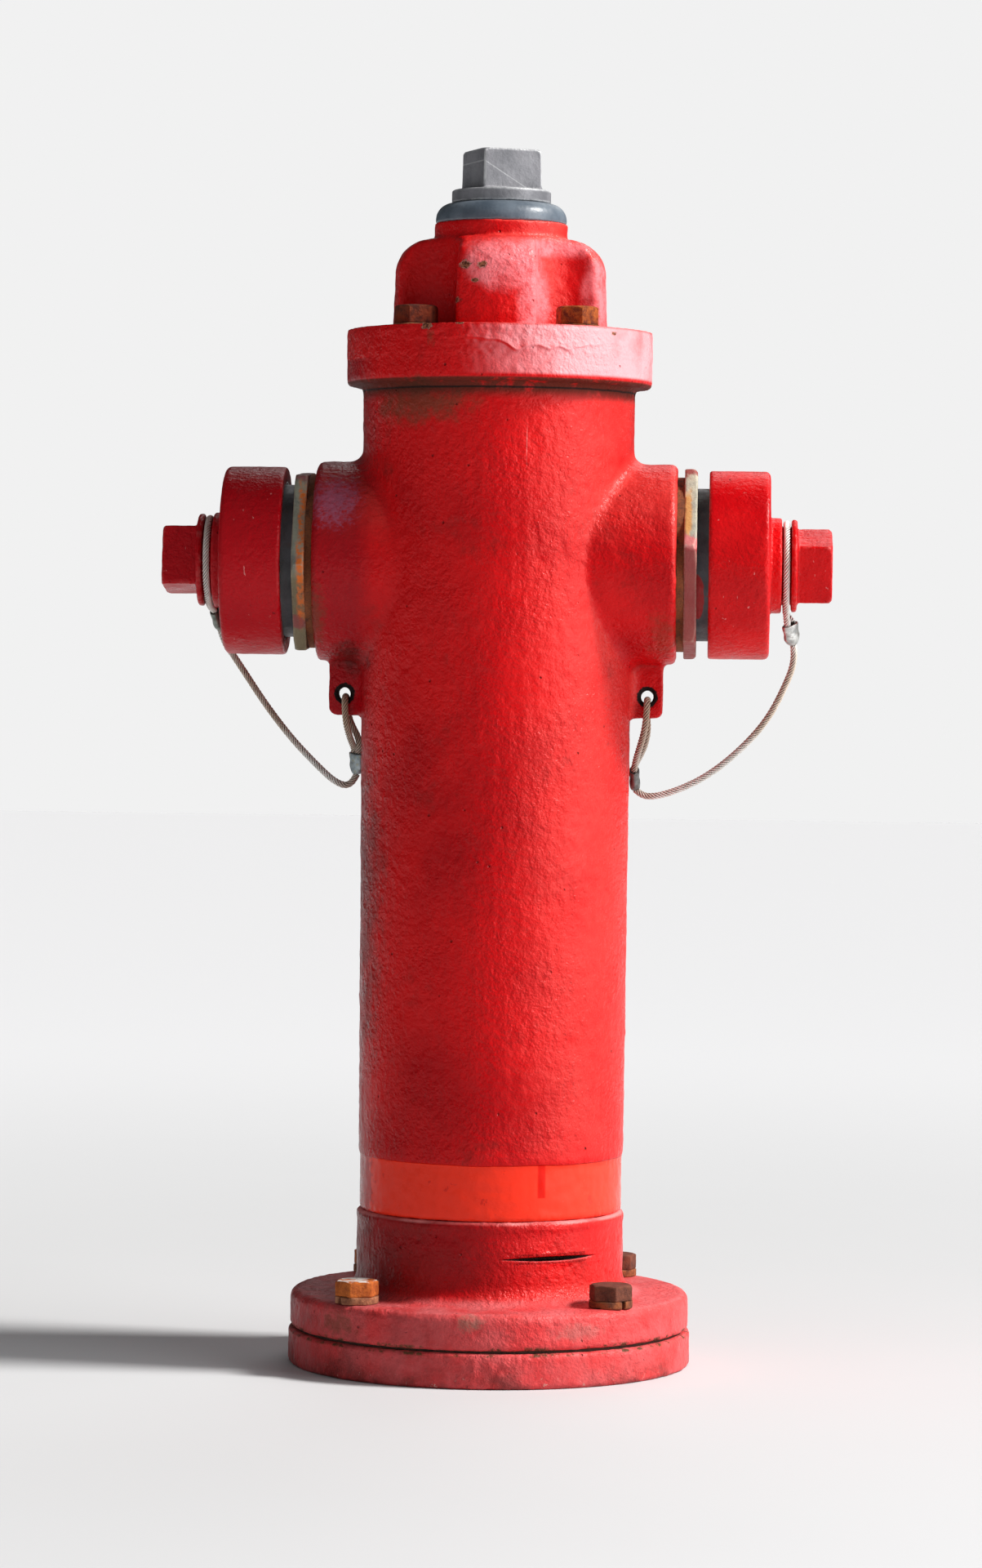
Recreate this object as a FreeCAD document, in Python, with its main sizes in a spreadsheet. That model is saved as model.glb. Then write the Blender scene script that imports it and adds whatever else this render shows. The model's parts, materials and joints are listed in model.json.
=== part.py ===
import FreeCAD, Part
import math
import os
import re
import Sketcher
from FreeCAD import Placement, Rotation, Vector

# A two-outlet, screw-down fire hydrant. +Z is up, the origin is the middle of the foot's underside,
# and the outlets point along +X (right) and -X (left). Millimetres throughout.
#
# Heights are above the foot's underside. A "reach" is a distance along an outlet from the barrel's axis.
SIZES = {
    # Foot: a threaded lower flange, a gasket and the upper flange with its hub.
    "inlet_radius": 57,
    "base_flange_radius": 111,
    "seat_recess_radius": 60,
    "seat_bottom_height": 12,
    "base_flange_top": 19,
    "foot_gasket_radius": 107,
    "foot_flange_bottom": 20.5,
    "foot_flange_radius": 110,
    "foot_flange_top": 40,
    "foot_bore_radius": 61,
    "lower_edge_round": 2,
    "upper_edge_round": 4.5,
    "hub_fillet": 11,
    "hub_radius": 73.25,
    "hub_swell": 0.5,
    "hub_swell_height": 66,
    "hub_rim_height": 80,
    "hub_rim_step": 1,
    "hub_top": 85,
    "hub_top_chamfer": 1.5,
    "slit_height": 65,
    "slit_bearing": 30.25,
    "slit_offset": 57.7,
    "slit_inner_radius": 127.95,
    "slit_slope": 0.47,
    "slit_cutter_width": 12,
    # Barrel.
    "spigot_bottom": 30,
    "spigot_radius": 68.4,
    "spigot_clearance": 0.1,
    "band_radius": 72.25,
    "band_top": 114.5,
    "cast_bottom": 117.5,
    "barrel_low_radius": 73.15,
    "barrel_high_radius": 74.85,
    "barrel_flange_bottom": 537.9,
    "barrel_top": 556,
    "ring_radius": 84,
    "ring_edge_round": 2.2,
    "ring_fillet": 4,
    "waterway_radius": 63,
    "waterway_top": 518,
    "plate_bore_bottom": 530,
    "plate_bore_radius": 48,
    "plate_rim_bottom": 553,
    "plate_rim_bore": 52.6,
    "outlet_height": 441.5,
    "boss_radius": 55,
    "boss_reach": 99,
    "boss_edge_round": 3,
    "boss_fillet": 7,
    "nozzle_seat_reach": 78,
    "nozzle_bore_radius": 42.05,
    "outlet_bore_radius": 34,
    "lug_bottom": 356.6,
    "lug_inside": 60,
    "lug_reach": 92.2,
    "lug_top": 400,
    "lug_thickness": 8,
    "lug_round": 4.5,
    "lug_hole_reach": 83.5,
    "lug_hole_height": 368.5,
    "lug_hole_radius": 4.3,
    "rib_bottom": 45,
    "rib_length": 65,
    "rib_inside": 54.5,
    "rib_outside": 64,
    "rib_half_width": 6,
    # Bonnet and its joint.
    "bonnet_bottom": 557.5,
    "bonnet_flange_top": 568.3,
    "bonnet_gasket_bore": 53.5,
    "bonnet_gasket_radius": 83.3,
    "dome_low_radius": 59,
    "dome_high_radius": 57.4,
    "dome_top": 617,
    "shoulder_round": 19,
    "neck_bottom": 618.6,
    "neck_radius": 36.5,
    "neck_top": 627.6,
    "neck_fillet": 2.5,
    "pocket_radius": 23,
    "lobe_round": 4,
    "lobe_edge_offset": 6,
    "lobe_edge_height": 5,
    "lobe_edge_length": 20,
    "bonnet_cavity_radius": 31,
    "bonnet_cavity_top": 586,
    "shelf_bottom": 590,
    "shelf_top": 602.5,
    "shelf_bore_radius": 18.6,
    "thrust_bore_radius": 24.6,
    "sleeve_bottom": 613.5,
    "sleeve_bore_radius": 30.05,
    # Hold-down nut and operating nut.
    "sleeve_radius": 29.95,
    "hold_down_radius": 36.05,
    "hold_down_top": 638.7,
    "hold_down_round": 9,
    "hold_down_bore": 20.05,
    "nut_bottom": 590,
    "nut_tail_radius": 18.5,
    "thrust_bottom": 604,
    "thrust_top": 612,
    "thrust_radius": 24,
    "nut_shaft_radius": 20,
    "nut_collar_bottom": 639,
    "nut_collar_radius": 27.3,
    "nut_collar_top": 646,
    "nut_bore_radius": 12.05,
    "nut_bore_top": 640,
    "operating_flats": 34.5,
    "operating_top": 668,
    "operating_turn": 24,
    "operating_taper": 1.2,
    "square_chamfer": 2,
    "washer_bore": 20.4,
    "washer_radius": 24.3,
    # Stem and its packing.
    "stem_radius": 15,
    "stem_joint": 330,
    "stem_gap": 0.5,
    "stem_shoulder": 562,
    "stem_thread_radius": 12,
    "stem_top": 612,
    "lower_stem_radius": 14,
    "lower_stem_top_shoulder": 298,
    "lower_stem_taper": 2,
    "coupling_bottom": 300,
    "coupling_top": 360,
    "coupling_radius": 21,
    "coupling_bore": 15.05,
    "pin_radius": 4,
    "pin_clearance": 0.05,
    "pin_spread": 15,
    "pin_recess": 0.3,
    "seal_plate_bottom": 540,
    "seal_plate_radius": 47.95,
    "seal_plate_rim_radius": 52.5,
    "seal_bore_radius": 15.06,
    "ring_groove_radius": 17.5,
    "ring_groove_width": 3,
    "ring_section": 1.15,
    "stem_ring_radius": 16.25,
    "lower_ring_height": 545,
    "upper_ring_height": 551,
    "plate_ring_radius": 46.75,
    "plate_groove_radius": 45.5,
    "plate_ring_height": 546.5,
    # Main valve.
    "seat_radius": 59.95,
    "seat_lip_radius": 52,
    "seat_bore_radius": 42,
    "seat_top": 27,
    "seat_round": 1.5,
    "rubber_radius": 53,
    "rubber_top": 39,
    "valve_bore_radius": 12.05,
    "lower_plate_radius": 39,
    "lower_plate_bottom": 21,
    "lock_nut_flats": 36,
    "lock_nut_bottom": 13,
    "upper_plate_radius": 50,
    "upper_plate_top": 49,
    "valve_hub_radius": 22,
    "valve_hub_top": 70,
    "ear_inside": 44,
    "ear_outside": 58,
    "ear_near": 6.5,
    "ear_far": 14,
    "ear_length": 18,
    # Bolts.
    "bolt_radius": 7,
    "bolt_flats": 21,
    "bolt_tapping_radius": 7.05,
    "bolt_hole_radius": 7.5,
    "bolt_chamfer": 1.4,
    "chamfer_spread": 1.5,
    "bolt_tip_chamfer": 1,
    "bolt_head_overlap": 1,
    "base_bolt_circle": 97,
    "base_head_height": 8.5,
    "base_bolt_bottom": 6,
    "base_tapping_bottom": 4,
    "spring_washer_radius": 11.8,
    "spring_washer_height": 4,
    "spring_washer_turn": 349,
    "bonnet_bolt_circle": 61.8,
    "bonnet_head_height": 10,
    "bonnet_bolt_bottom": 541,
    "bonnet_tapping_bottom": 538,
    "flat_washer_radius": 12.6,
    "flat_washer_height": 1.5,
    # Outlets.
    "nozzle_radius": 41.95,
    "nozzle_inside": 32,
    "nozzle_shoulder": 117.5,
    "nozzle_thread_radius": 38.95,
    "nozzle_end": 141,
    "thread_runout": 1.5,
    "nozzle_gasket_radius": 48,
    "lock_ring_inside": 103,
    "lock_ring_outside": 110,
    "lock_ring_flats": 96,
    "lock_ring_chamfer": 2.2,
    "cap_mouth": 116.5,
    "cap_mouth_radius": 43,
    "cap_mouth_depth": 1.6,
    "cap_radius": 51.7,
    "cap_face": 150,
    "cap_mouth_round": 1.2,
    "cap_face_round": 3,
    "cap_thread_radius": 39.05,
    "cap_seat_reach": 143.8,
    "cap_hub_radius": 26.25,
    "cap_hub_face": 156.5,
    "cap_groove_radius": 20.75,
    "cap_collar_inside": 161.8,
    "cap_collar_radius": 25.5,
    "cap_collar_face": 165,
    "cap_collar_round": 1,
    "cap_flats": 32.6,
    "cap_end": 184.2,
    "cap_gasket_radius": 38.8,
    "cap_gasket_bore": 31.5,
    # Cap tethers: wire rope with a ferrule at each loop.
    "rope_radius": 1.85,
    "loop_radius": 22.95,
    "loop_reach": 159.15,
    "ferrule_length": 12,
    "ferrule_taper_start": 7.5,
    "ferrule_half_width": 5.2,
    "ferrule_half_depth": 2.9,
    "ferrule_end_radius": 2.9,
    # How far a cutting outline reaches past the surface that it cuts.
    "cutter_margin": 1,
}

BOLT_ANGLES = (45, 135, 225, 315)
SIDES = {"right": 1, "left": -1}
# How far each cap has turned past square when its gasket is tight, in degrees.
CAP_TURNS = {"right": 19, "left": 9.5}
LOCK_RING_TURNS = {"right": 50, "left": 56.7}
LOOP_CORNER = 30
SHARE_OF_RUN = 0.45
# An ellipse needs one half size larger than the other, so a round end is made this much wider.
NEARLY_ROUND = 0.01

document = FreeCAD.newDocument("fire_hydrant")
sheet = document.addObject("Spreadsheet::Sheet", "Sizes")
for row, (name, value) in enumerate(SIZES.items(), start=1):
    sheet.set(f"A{row}", name)
    sheet.set(f"B{row}", str(value))
    sheet.setAlias(f"B{row}", name)
document.recompute()

nodes = []


def size(name):
    return float(sheet.get(name))


def bound(expression):
    """The expression with every dimension name looked up in the sheet."""
    return re.sub(r"\b[a-z]+(?:_[a-z]+)+\b", r"Sizes.\g<0>", str(expression))


# Sketches and features.

def new_body(label, keep=True):
    body = document.addObject("PartDesign::Body", label)
    body.Label = label
    if keep:
        nodes.append(body)
    return body


def new_sketch(body, plane, height="0"):
    sketch = body.newObject("Sketcher::SketchObject", f"{body.Name}_sketch")
    support = next(item for item in body.Origin.OriginFeatures if item.Role == plane)
    sketch.AttachmentSupport = (support, [""])
    sketch.MapMode = "FlatFace"
    sketch.setExpression("AttachmentOffset.Base.z", bound(height))
    return sketch


def pin_point(sketch, geometry, point, place, start):
    """Ties a point's two distances from the sketch's origin to a pair of expressions."""
    for kind, expression, value in zip(("DistanceX", "DistanceY"), place, (start.x, start.y)):
        index = sketch.addConstraint(Sketcher.Constraint(kind, -1, 1, geometry, point, value))
        sketch.setExpression(f"Constraints[{index}]", bound(expression))


def draw_outline(sketch, corners):
    """Draws straight lines through corners, each an (across, up) pair of expressions, and closes them.

    The lines start as a small regular polygon, and their constraints move each corner to its place.
    """
    first = sketch.GeometryCount
    count = len(corners)
    turns = [math.tau * number / count for number in range(count)]
    starts = [Vector(50 + 10 * math.cos(turn), 50 + 10 * math.sin(turn), 0) for turn in turns]
    for number in range(count):
        line = Part.LineSegment(starts[number], starts[(number + 1) % count])
        sketch.addGeometry(line, False)
    for number in range(count):
        following = first + (number + 1) % count
        sketch.addConstraint(Sketcher.Constraint("Coincident", first + number, 2, following, 1))
    for number, corner in enumerate(corners):
        pin_point(sketch, first + number, 1, corner, starts[number])


def draw_circle(sketch, centre, radius):
    index = sketch.GeometryCount
    start = Vector(5, 5, 0)
    sketch.addGeometry(Part.Circle(start, Vector(0, 0, 1), 3), False)
    constraint = sketch.addConstraint(Sketcher.Constraint("Radius", index, 3))
    sketch.setExpression(f"Constraints[{constraint}]", bound(radius))
    pin_point(sketch, index, 3, centre, start)


def add_feature(body, kind, bindings, **settings):
    """Adds a PartDesign feature and stops if it fails or changes nothing."""
    before = body.Shape.Volume if body.Tip else 0
    feature = body.newObject(f"PartDesign::{kind}", f"{body.Name}_{kind.lower()}")
    for name, value in settings.items():
        setattr(feature, name, value)
    for name, expression in bindings.items():
        feature.setExpression(name, bound(expression))
    document.recompute()
    if "Invalid" in feature.State or "Error" in feature.State or not feature.Shape.isValid():
        raise ValueError(f"{body.Label}: {feature.Name} failed")
    if abs(feature.Shape.Volume - before) < 0.01:
        raise ValueError(f"{body.Label}: {feature.Name} changed nothing")
    return feature


def revolve(body, kind, corners, bindings=None):
    sketch = new_sketch(body, "XZ_Plane")
    draw_outline(sketch, corners)
    axis = (sketch, ["V_Axis"])
    add_feature(body, kind, bindings or {}, Profile=sketch, ReferenceAxis=axis, Angle=360)
    return sketch


def circle_at(radius, height):
    """Picks the circular edges of one radius and height."""
    def wanted(edge):
        if not isinstance(edge.Curve, Part.Circle):
            return False
        same_radius = abs(edge.Curve.Radius - radius) < 0.001
        return same_radius and abs(edge.Curve.Center.z - height) < 0.001
    return wanted


def round_edges(body, radius, wanted):
    base = body.Tip
    picked = [f"Edge{number}" for number, edge in enumerate(base.Shape.Edges, start=1) if wanted(edge)]
    if not picked:
        raise ValueError(f"{body.Label}: no edge to round")
    add_feature(body, "Fillet", {"Radius": radius}, Base=(base, picked))


def turned(label, corners, bindings=None, keep=True):
    """A piece turned about its own Z. A corner is (radius, height), or (radius, height, edge round)."""
    body = new_body(label, keep)
    sketch = revolve(body, "Revolution", [corner[:2] for corner in corners], bindings)
    for number, corner in enumerate(corners):
        if len(corner) == 3:
            point = sketch.Geometry[number].StartPoint
            round_edges(body, corner[2], circle_at(point.x, point.y))
    return body


def around(radius, angles):
    """Places on a circle, as pairs of expressions."""
    return [(f"{radius} * cos({angle} deg)", f"{radius} * sin({angle} deg)") for angle in angles]


def drill(body, places, radius, top, depth):
    """Round holes bored downwards from a height."""
    sketch = new_sketch(body, "XY_Plane", top)
    for place in places:
        draw_circle(sketch, place, radius)
    add_feature(body, "Pocket", {"Length": depth}, Profile=sketch)


def extrude(body, kind, plane, outlines, height, length, **settings):
    sketch = new_sketch(body, plane, height)
    for outline in outlines:
        draw_outline(sketch, outline)
    return add_feature(body, kind, {"Length": length}, Profile=sketch, **settings)


def prism(flats, sides, turn="0"):
    """The corners of a regular polygon, from its width across flats."""
    half = 180 / sides
    angles = [f"({turn} + {half + 360 * number / sides}) * 1 deg" for number in range(sides)]
    reach = f"{flats} / 2 / cos({half} deg)"
    return [(f"{reach} * cos({angle})", f"{reach} * sin({angle})") for angle in angles]


def chamfer_prism(body, flats, sides, top, amount, upwards=True):
    """Turns off the corners of a prism's end in a shallow cone."""
    corner = f"({flats} / 2 / cos({180 / sides} deg))"
    level = f"{top} - {amount}" if upwards else f"{top} + {amount}"
    outline = [
        (f"{corner} - {amount} * chamfer_spread", top),
        (f"{corner} + cutter_margin", top),
        (f"{corner} + cutter_margin", level),
    ]
    revolve(body, "Groove", outline)


# Foot.

bolt_places = around("base_bolt_circle", BOLT_ANGLES)

base_flange = turned("base_flange", [
    ("inlet_radius", "0"),
    ("base_flange_radius", "0", "lower_edge_round"),
    ("base_flange_radius", "base_flange_top", "lower_edge_round"),
    ("seat_recess_radius", "base_flange_top"),
    ("seat_recess_radius", "seat_bottom_height"),
    ("inlet_radius", "seat_bottom_height"),
])
drill(base_flange, bolt_places, "bolt_tapping_radius", "base_flange_top",
      "base_flange_top - base_tapping_bottom")

flange_gasket = turned("flange_gasket", [
    ("foot_bore_radius", "base_flange_top"),
    ("foot_gasket_radius", "base_flange_top"),
    ("foot_gasket_radius", "foot_flange_bottom"),
    ("foot_bore_radius", "foot_flange_bottom"),
])
drill(flange_gasket, bolt_places, "bolt_hole_radius", "foot_flange_bottom",
      "foot_flange_bottom - base_flange_top")

foot_flange = turned("foot_flange", [
    ("foot_bore_radius", "foot_flange_bottom"),
    ("foot_flange_radius", "foot_flange_bottom", "lower_edge_round"),
    ("foot_flange_radius", "foot_flange_top", "upper_edge_round"),
    ("hub_radius", "foot_flange_top", "hub_fillet"),
    ("hub_radius + hub_swell", "hub_swell_height"),
    ("hub_radius", "hub_rim_height - hub_rim_step"),
    ("hub_radius + hub_swell", "hub_rim_height"),
    ("hub_radius + hub_swell", "hub_top - hub_top_chamfer"),
    ("hub_radius + hub_swell - hub_top_chamfer", "hub_top"),
    ("spigot_radius + spigot_clearance", "hub_top"),
    ("spigot_radius + spigot_clearance", "spigot_bottom"),
    ("foot_bore_radius", "spigot_bottom"),
])
drill(foot_flange, bolt_places, "bolt_hole_radius", "foot_flange_top",
      "foot_flange_top - foot_flange_bottom")
# A crescent-shaped slit in the hub's front: a wide ring with a V edge, centred off the axis, just bites it.
slit = new_sketch(foot_flange, "XZ_Plane", "-slit_offset * cos(slit_bearing * 1 deg)")
slit.setExpression("AttachmentOffset.Base.x", bound("-slit_offset * sin(slit_bearing * 1 deg)"))
slit.setExpression("AttachmentOffset.Base.y", bound("slit_height"))
draw_outline(slit, [
    ("slit_inner_radius", "0"),
    ("slit_inner_radius + slit_cutter_width", "slit_cutter_width * slit_slope"),
    ("slit_inner_radius + slit_cutter_width", "-slit_cutter_width * slit_slope"),
])
add_feature(foot_flange, "Groove", {}, Profile=slit, ReferenceAxis=(slit, ["V_Axis"]), Angle=360)

# Barrel: turned solid first, then the outlet bosses and lugs, then everything bored out.

barrel = turned("barrel", [
    ("0", "spigot_bottom"),
    ("spigot_radius", "spigot_bottom"),
    ("spigot_radius", "hub_top"),
    ("band_radius", "hub_top"),
    ("band_radius", "band_top"),
    ("barrel_low_radius", "cast_bottom"),
    ("barrel_high_radius", "barrel_flange_bottom", "ring_fillet"),
    ("ring_radius", "barrel_flange_bottom", "ring_edge_round"),
    ("ring_radius", "barrel_top"),
    ("0", "barrel_top"),
])


def saddle(edge):
    return isinstance(edge.Curve, Part.BSplineCurve) and abs(edge.CenterOfMass.x) > size("boss_radius") / 2


def boss_rim(edge):
    on_face = abs(abs(edge.CenterOfMass.x) - size("boss_reach")) < 0.01
    return on_face and isinstance(edge.Curve, Part.Circle)


def lug_corner(edge):
    middle = edge.CenterOfMass
    at_reach = abs(abs(middle.x) - size("lug_reach")) < 0.01
    return at_reach and abs(middle.z - size("lug_bottom")) < 0.01 and abs(middle.y) < 0.01


lug_outlines = [
    [
        (f"{side} * lug_inside", "lug_bottom"),
        (f"{side} * lug_reach", "lug_bottom"),
        (f"{side} * lug_reach", "lug_top"),
        (f"{side} * lug_inside", "lug_top"),
    ]
    for side in SIDES.values()
]
extrude(barrel, "Pad", "XZ_Plane", lug_outlines, "0", "lug_thickness", Midplane=True)
round_edges(barrel, "lug_round", lug_corner)
boss_sketch = new_sketch(barrel, "YZ_Plane")
draw_circle(boss_sketch, ("0", "outlet_height"), "boss_radius")
add_feature(barrel, "Pad", {"Length": "2 * boss_reach"}, Profile=boss_sketch, Midplane=True)
round_edges(barrel, "boss_fillet", saddle)
round_edges(barrel, "boss_edge_round", boss_rim)
revolve(barrel, "Groove", [
    ("0", "spigot_bottom"),
    ("waterway_radius", "spigot_bottom"),
    ("waterway_radius", "waterway_top"),
    ("plate_bore_radius", "plate_bore_bottom"),
    ("plate_bore_radius", "plate_rim_bottom"),
    ("plate_rim_bore", "plate_rim_bottom"),
    ("plate_rim_bore", "barrel_top"),
    ("0", "barrel_top"),
])
for side in SIDES.values():
    bore = new_sketch(barrel, "YZ_Plane", f"{side} * boss_reach")
    draw_circle(bore, ("0", "outlet_height"), "nozzle_bore_radius")
    add_feature(barrel, "Pocket", {"Length": "boss_reach - nozzle_seat_reach"}, Profile=bore,
                Reversed=side < 0)
cross_bore = new_sketch(barrel, "YZ_Plane")
draw_circle(cross_bore, ("0", "outlet_height"), "outlet_bore_radius")
add_feature(barrel, "Pocket", {"Length": "2 * boss_reach"}, Profile=cross_bore, Midplane=True)
lug_holes = new_sketch(barrel, "XZ_Plane")
for side in SIDES.values():
    draw_circle(lug_holes, (f"{side} * lug_hole_reach", "lug_hole_height"), "lug_hole_radius")
add_feature(barrel, "Pocket", {"Length": "lug_thickness * 2"}, Profile=lug_holes, Midplane=True)
drill(barrel, around("bonnet_bolt_circle", BOLT_ANGLES), "bolt_tapping_radius", "barrel_top",
      "barrel_top - bonnet_tapping_bottom")
rib_outlines = [
    [
        ("-rib_half_width", f"{side} * rib_inside"),
        ("rib_half_width", f"{side} * rib_inside"),
        ("rib_half_width", f"{side} * rib_outside"),
        ("-rib_half_width", f"{side} * rib_outside"),
    ]
    for side in SIDES.values()
]
extrude(barrel, "Pad", "XY_Plane", rib_outlines, "rib_bottom", "rib_length")

# Bonnet joint and bonnet.

bonnet_gasket = turned("bonnet_gasket", [
    ("bonnet_gasket_bore", "barrel_top"),
    ("bonnet_gasket_radius", "barrel_top"),
    ("bonnet_gasket_radius", "bonnet_bottom"),
    ("bonnet_gasket_bore", "bonnet_bottom"),
])
bonnet_places = around("bonnet_bolt_circle", BOLT_ANGLES)
drill(bonnet_gasket, bonnet_places, "bolt_hole_radius", "bonnet_bottom", "bonnet_bottom - barrel_top")

bonnet = turned("bonnet", [
    ("0", "bonnet_bottom"),
    ("ring_radius", "bonnet_bottom"),
    ("ring_radius", "bonnet_flange_top", "ring_edge_round"),
    ("dome_low_radius", "bonnet_flange_top"),
    ("dome_high_radius", "dome_top", "shoulder_round"),
    ("neck_radius", "neck_bottom", "neck_fillet"),
    ("neck_radius", "neck_top"),
    ("0", "neck_top"),
])
drill(bonnet, bonnet_places, "pocket_radius", "neck_top", "neck_top - bonnet_flange_top")


def lobe_edge(edge):
    middle = edge.CenterOfMass
    beside_lobe = math.hypot(middle.x, middle.y) > size("neck_radius") + size("lobe_edge_offset")
    above_flange = middle.z > size("bonnet_flange_top") + size("lobe_edge_height")
    return beside_lobe and above_flange and edge.Length > size("lobe_edge_length")


round_edges(bonnet, "lobe_round", lobe_edge)
revolve(bonnet, "Groove", [
    ("0", "bonnet_bottom"),
    ("bonnet_cavity_radius", "bonnet_bottom"),
    ("bonnet_cavity_radius", "bonnet_cavity_top"),
    ("shelf_bore_radius", "shelf_bottom"),
    ("shelf_bore_radius", "shelf_top"),
    ("thrust_bore_radius", "shelf_top"),
    ("thrust_bore_radius", "sleeve_bottom"),
    ("sleeve_bore_radius", "sleeve_bottom"),
    ("sleeve_bore_radius", "neck_top"),
    ("0", "neck_top"),
])
drill(bonnet, bonnet_places, "bolt_hole_radius", "bonnet_flange_top", "bonnet_flange_top - bonnet_bottom")

hold_down_nut = turned("hold_down_nut", [
    ("hold_down_bore", "sleeve_bottom"),
    ("sleeve_radius", "sleeve_bottom"),
    ("sleeve_radius", "neck_top"),
    ("hold_down_radius", "neck_top"),
    ("hold_down_radius", "hold_down_top", "hold_down_round"),
    ("hold_down_bore", "hold_down_top"),
])

operating_nut = turned("operating_nut", [
    ("0", "nut_bore_top"),
    ("nut_bore_radius", "nut_bore_top"),
    ("nut_bore_radius", "nut_bottom"),
    ("nut_tail_radius", "nut_bottom"),
    ("nut_tail_radius", "thrust_bottom"),
    ("thrust_radius", "thrust_bottom"),
    ("thrust_radius", "thrust_top"),
    ("nut_shaft_radius", "thrust_top"),
    ("nut_shaft_radius", "nut_collar_bottom"),
    ("nut_collar_radius", "nut_collar_bottom"),
    ("nut_collar_radius", "nut_collar_top", "cap_collar_round"),
    ("0", "nut_collar_top"),
])
square = extrude(operating_nut, "Pad", "XY_Plane", [prism("operating_flats", 4, "operating_turn")],
                 "nut_collar_top", "operating_top - nut_collar_top")
square.setExpression("TaperAngle", bound("-operating_taper"))
document.recompute()
chamfer_prism(operating_nut, "operating_flats", 4, "operating_top", "square_chamfer")


def washer(label, bore, radius, bottom, height, bindings=None, keep=True):
    return turned(label, [
        (bore, bottom),
        (radius, bottom),
        (radius, f"{bottom} + {height}"),
        (bore, f"{bottom} + {height}"),
    ], bindings, keep)


def group(label, shapes):
    """Separate solids of one kind in one node."""
    feature = document.addObject("Part::Feature", label)
    feature.Label = label
    feature.Shape = Part.makeCompound(shapes)
    nodes.append(feature)
    return feature


def around_axis(template, radius):
    """Copies of a template piece at the four bolt angles of a bolt circle."""
    copies = []
    for angle in BOLT_ANGLES:
        copy = template.Shape.copy()
        turn = math.radians(angle)
        copy.Placement = Placement(
            Vector(radius * math.cos(turn), radius * math.sin(turn), 0), Rotation(Vector(0, 0, 1), angle)
        )
        copies.append(copy)
    return copies


thrust_washer = washer("thrust_washer", "washer_bore", "washer_radius", "shelf_top",
                       "(thrust_bottom - shelf_top)", keep=False)
upper_washer = thrust_washer.Shape.copy()
upper_washer.translate(Vector(0, 0, size("thrust_top") - size("shelf_top")))
group("thrust_washers", [thrust_washer.Shape.copy(), upper_washer])

# Stem, packing and main valve.

upper_stem = turned("upper_stem", [
    ("0", "stem_joint + stem_gap"),
    ("stem_radius", "stem_joint + stem_gap"),
    ("stem_radius", "stem_shoulder"),
    ("stem_thread_radius", "stem_shoulder + stem_radius - stem_thread_radius"),
    ("stem_thread_radius", "stem_top"),
    ("0", "stem_top"),
])
lower_stem = turned("lower_stem", [
    ("0", "lock_nut_bottom"),
    ("stem_thread_radius", "lock_nut_bottom"),
    ("stem_thread_radius", "valve_hub_top"),
    ("lower_stem_radius", "valve_hub_top"),
    ("lower_stem_radius", "lower_stem_top_shoulder - lower_stem_taper"),
    ("stem_radius", "lower_stem_top_shoulder"),
    ("stem_radius", "stem_joint"),
    ("0", "stem_joint"),
])
stem_coupling = turned("stem_coupling", [
    ("coupling_bore", "coupling_bottom"),
    ("coupling_radius", "coupling_bottom"),
    ("coupling_radius", "coupling_top"),
    ("coupling_bore", "coupling_top"),
])
pin_heights = {"lower": "stem_joint - pin_spread", "upper": "stem_joint + pin_spread"}
for body, heights in (
    (upper_stem, [pin_heights["upper"]]),
    (lower_stem, [pin_heights["lower"]]),
    (stem_coupling, list(pin_heights.values())),
):
    pin_bore = new_sketch(body, "YZ_Plane")
    for height in heights:
        draw_circle(pin_bore, ("0", height), "pin_radius + pin_clearance")
    add_feature(body, "Pocket", {"Length": "3 * coupling_radius"}, Profile=pin_bore, Midplane=True)

coupling_pins = document.addObject("Part::Feature", "coupling_pins")
pin_start = size("pin_recess") - size("coupling_radius")
coupling_pins.Shape = Part.makeCompound([
    Part.makeCylinder(
        size("pin_radius"), -2 * pin_start,
        Vector(pin_start, 0, size("stem_joint") + offset), Vector(1, 0, 0),
    )
    for offset in (-size("pin_spread"), size("pin_spread"))
])
nodes.append(coupling_pins)

seal_plate = turned("seal_plate", [
    ("seal_bore_radius", "seal_plate_bottom"),
    ("seal_plate_radius", "seal_plate_bottom"),
    ("seal_plate_radius", "plate_rim_bottom"),
    ("seal_plate_rim_radius", "plate_rim_bottom"),
    ("seal_plate_rim_radius", "barrel_top"),
    ("seal_bore_radius", "barrel_top"),
])


def ring_groove(body, inside, outside, height):
    revolve(body, "Groove", [
        (inside, f"{height} - ring_groove_width / 2"),
        (outside, f"{height} - ring_groove_width / 2"),
        (outside, f"{height} + ring_groove_width / 2"),
        (inside, f"{height} + ring_groove_width / 2"),
    ])


for height in ("lower_ring_height", "upper_ring_height"):
    ring_groove(seal_plate, "seal_bore_radius - cutter_margin", "ring_groove_radius", height)
ring_groove(seal_plate, "plate_groove_radius", "seal_plate_radius + cutter_margin", "plate_ring_height")

group("stem_o_rings", [
    Part.makeTorus(size("stem_ring_radius"), size("ring_section"), Vector(0, 0, size(height)))
    for height in ("lower_ring_height", "upper_ring_height")
])
plate_o_ring = document.addObject("Part::Torus", "plate_o_ring")
plate_o_ring.setExpression("Radius1", bound("plate_ring_radius"))
plate_o_ring.setExpression("Radius2", bound("ring_section"))
plate_o_ring.setExpression("Placement.Base.z", bound("plate_ring_height"))
nodes.append(plate_o_ring)

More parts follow.
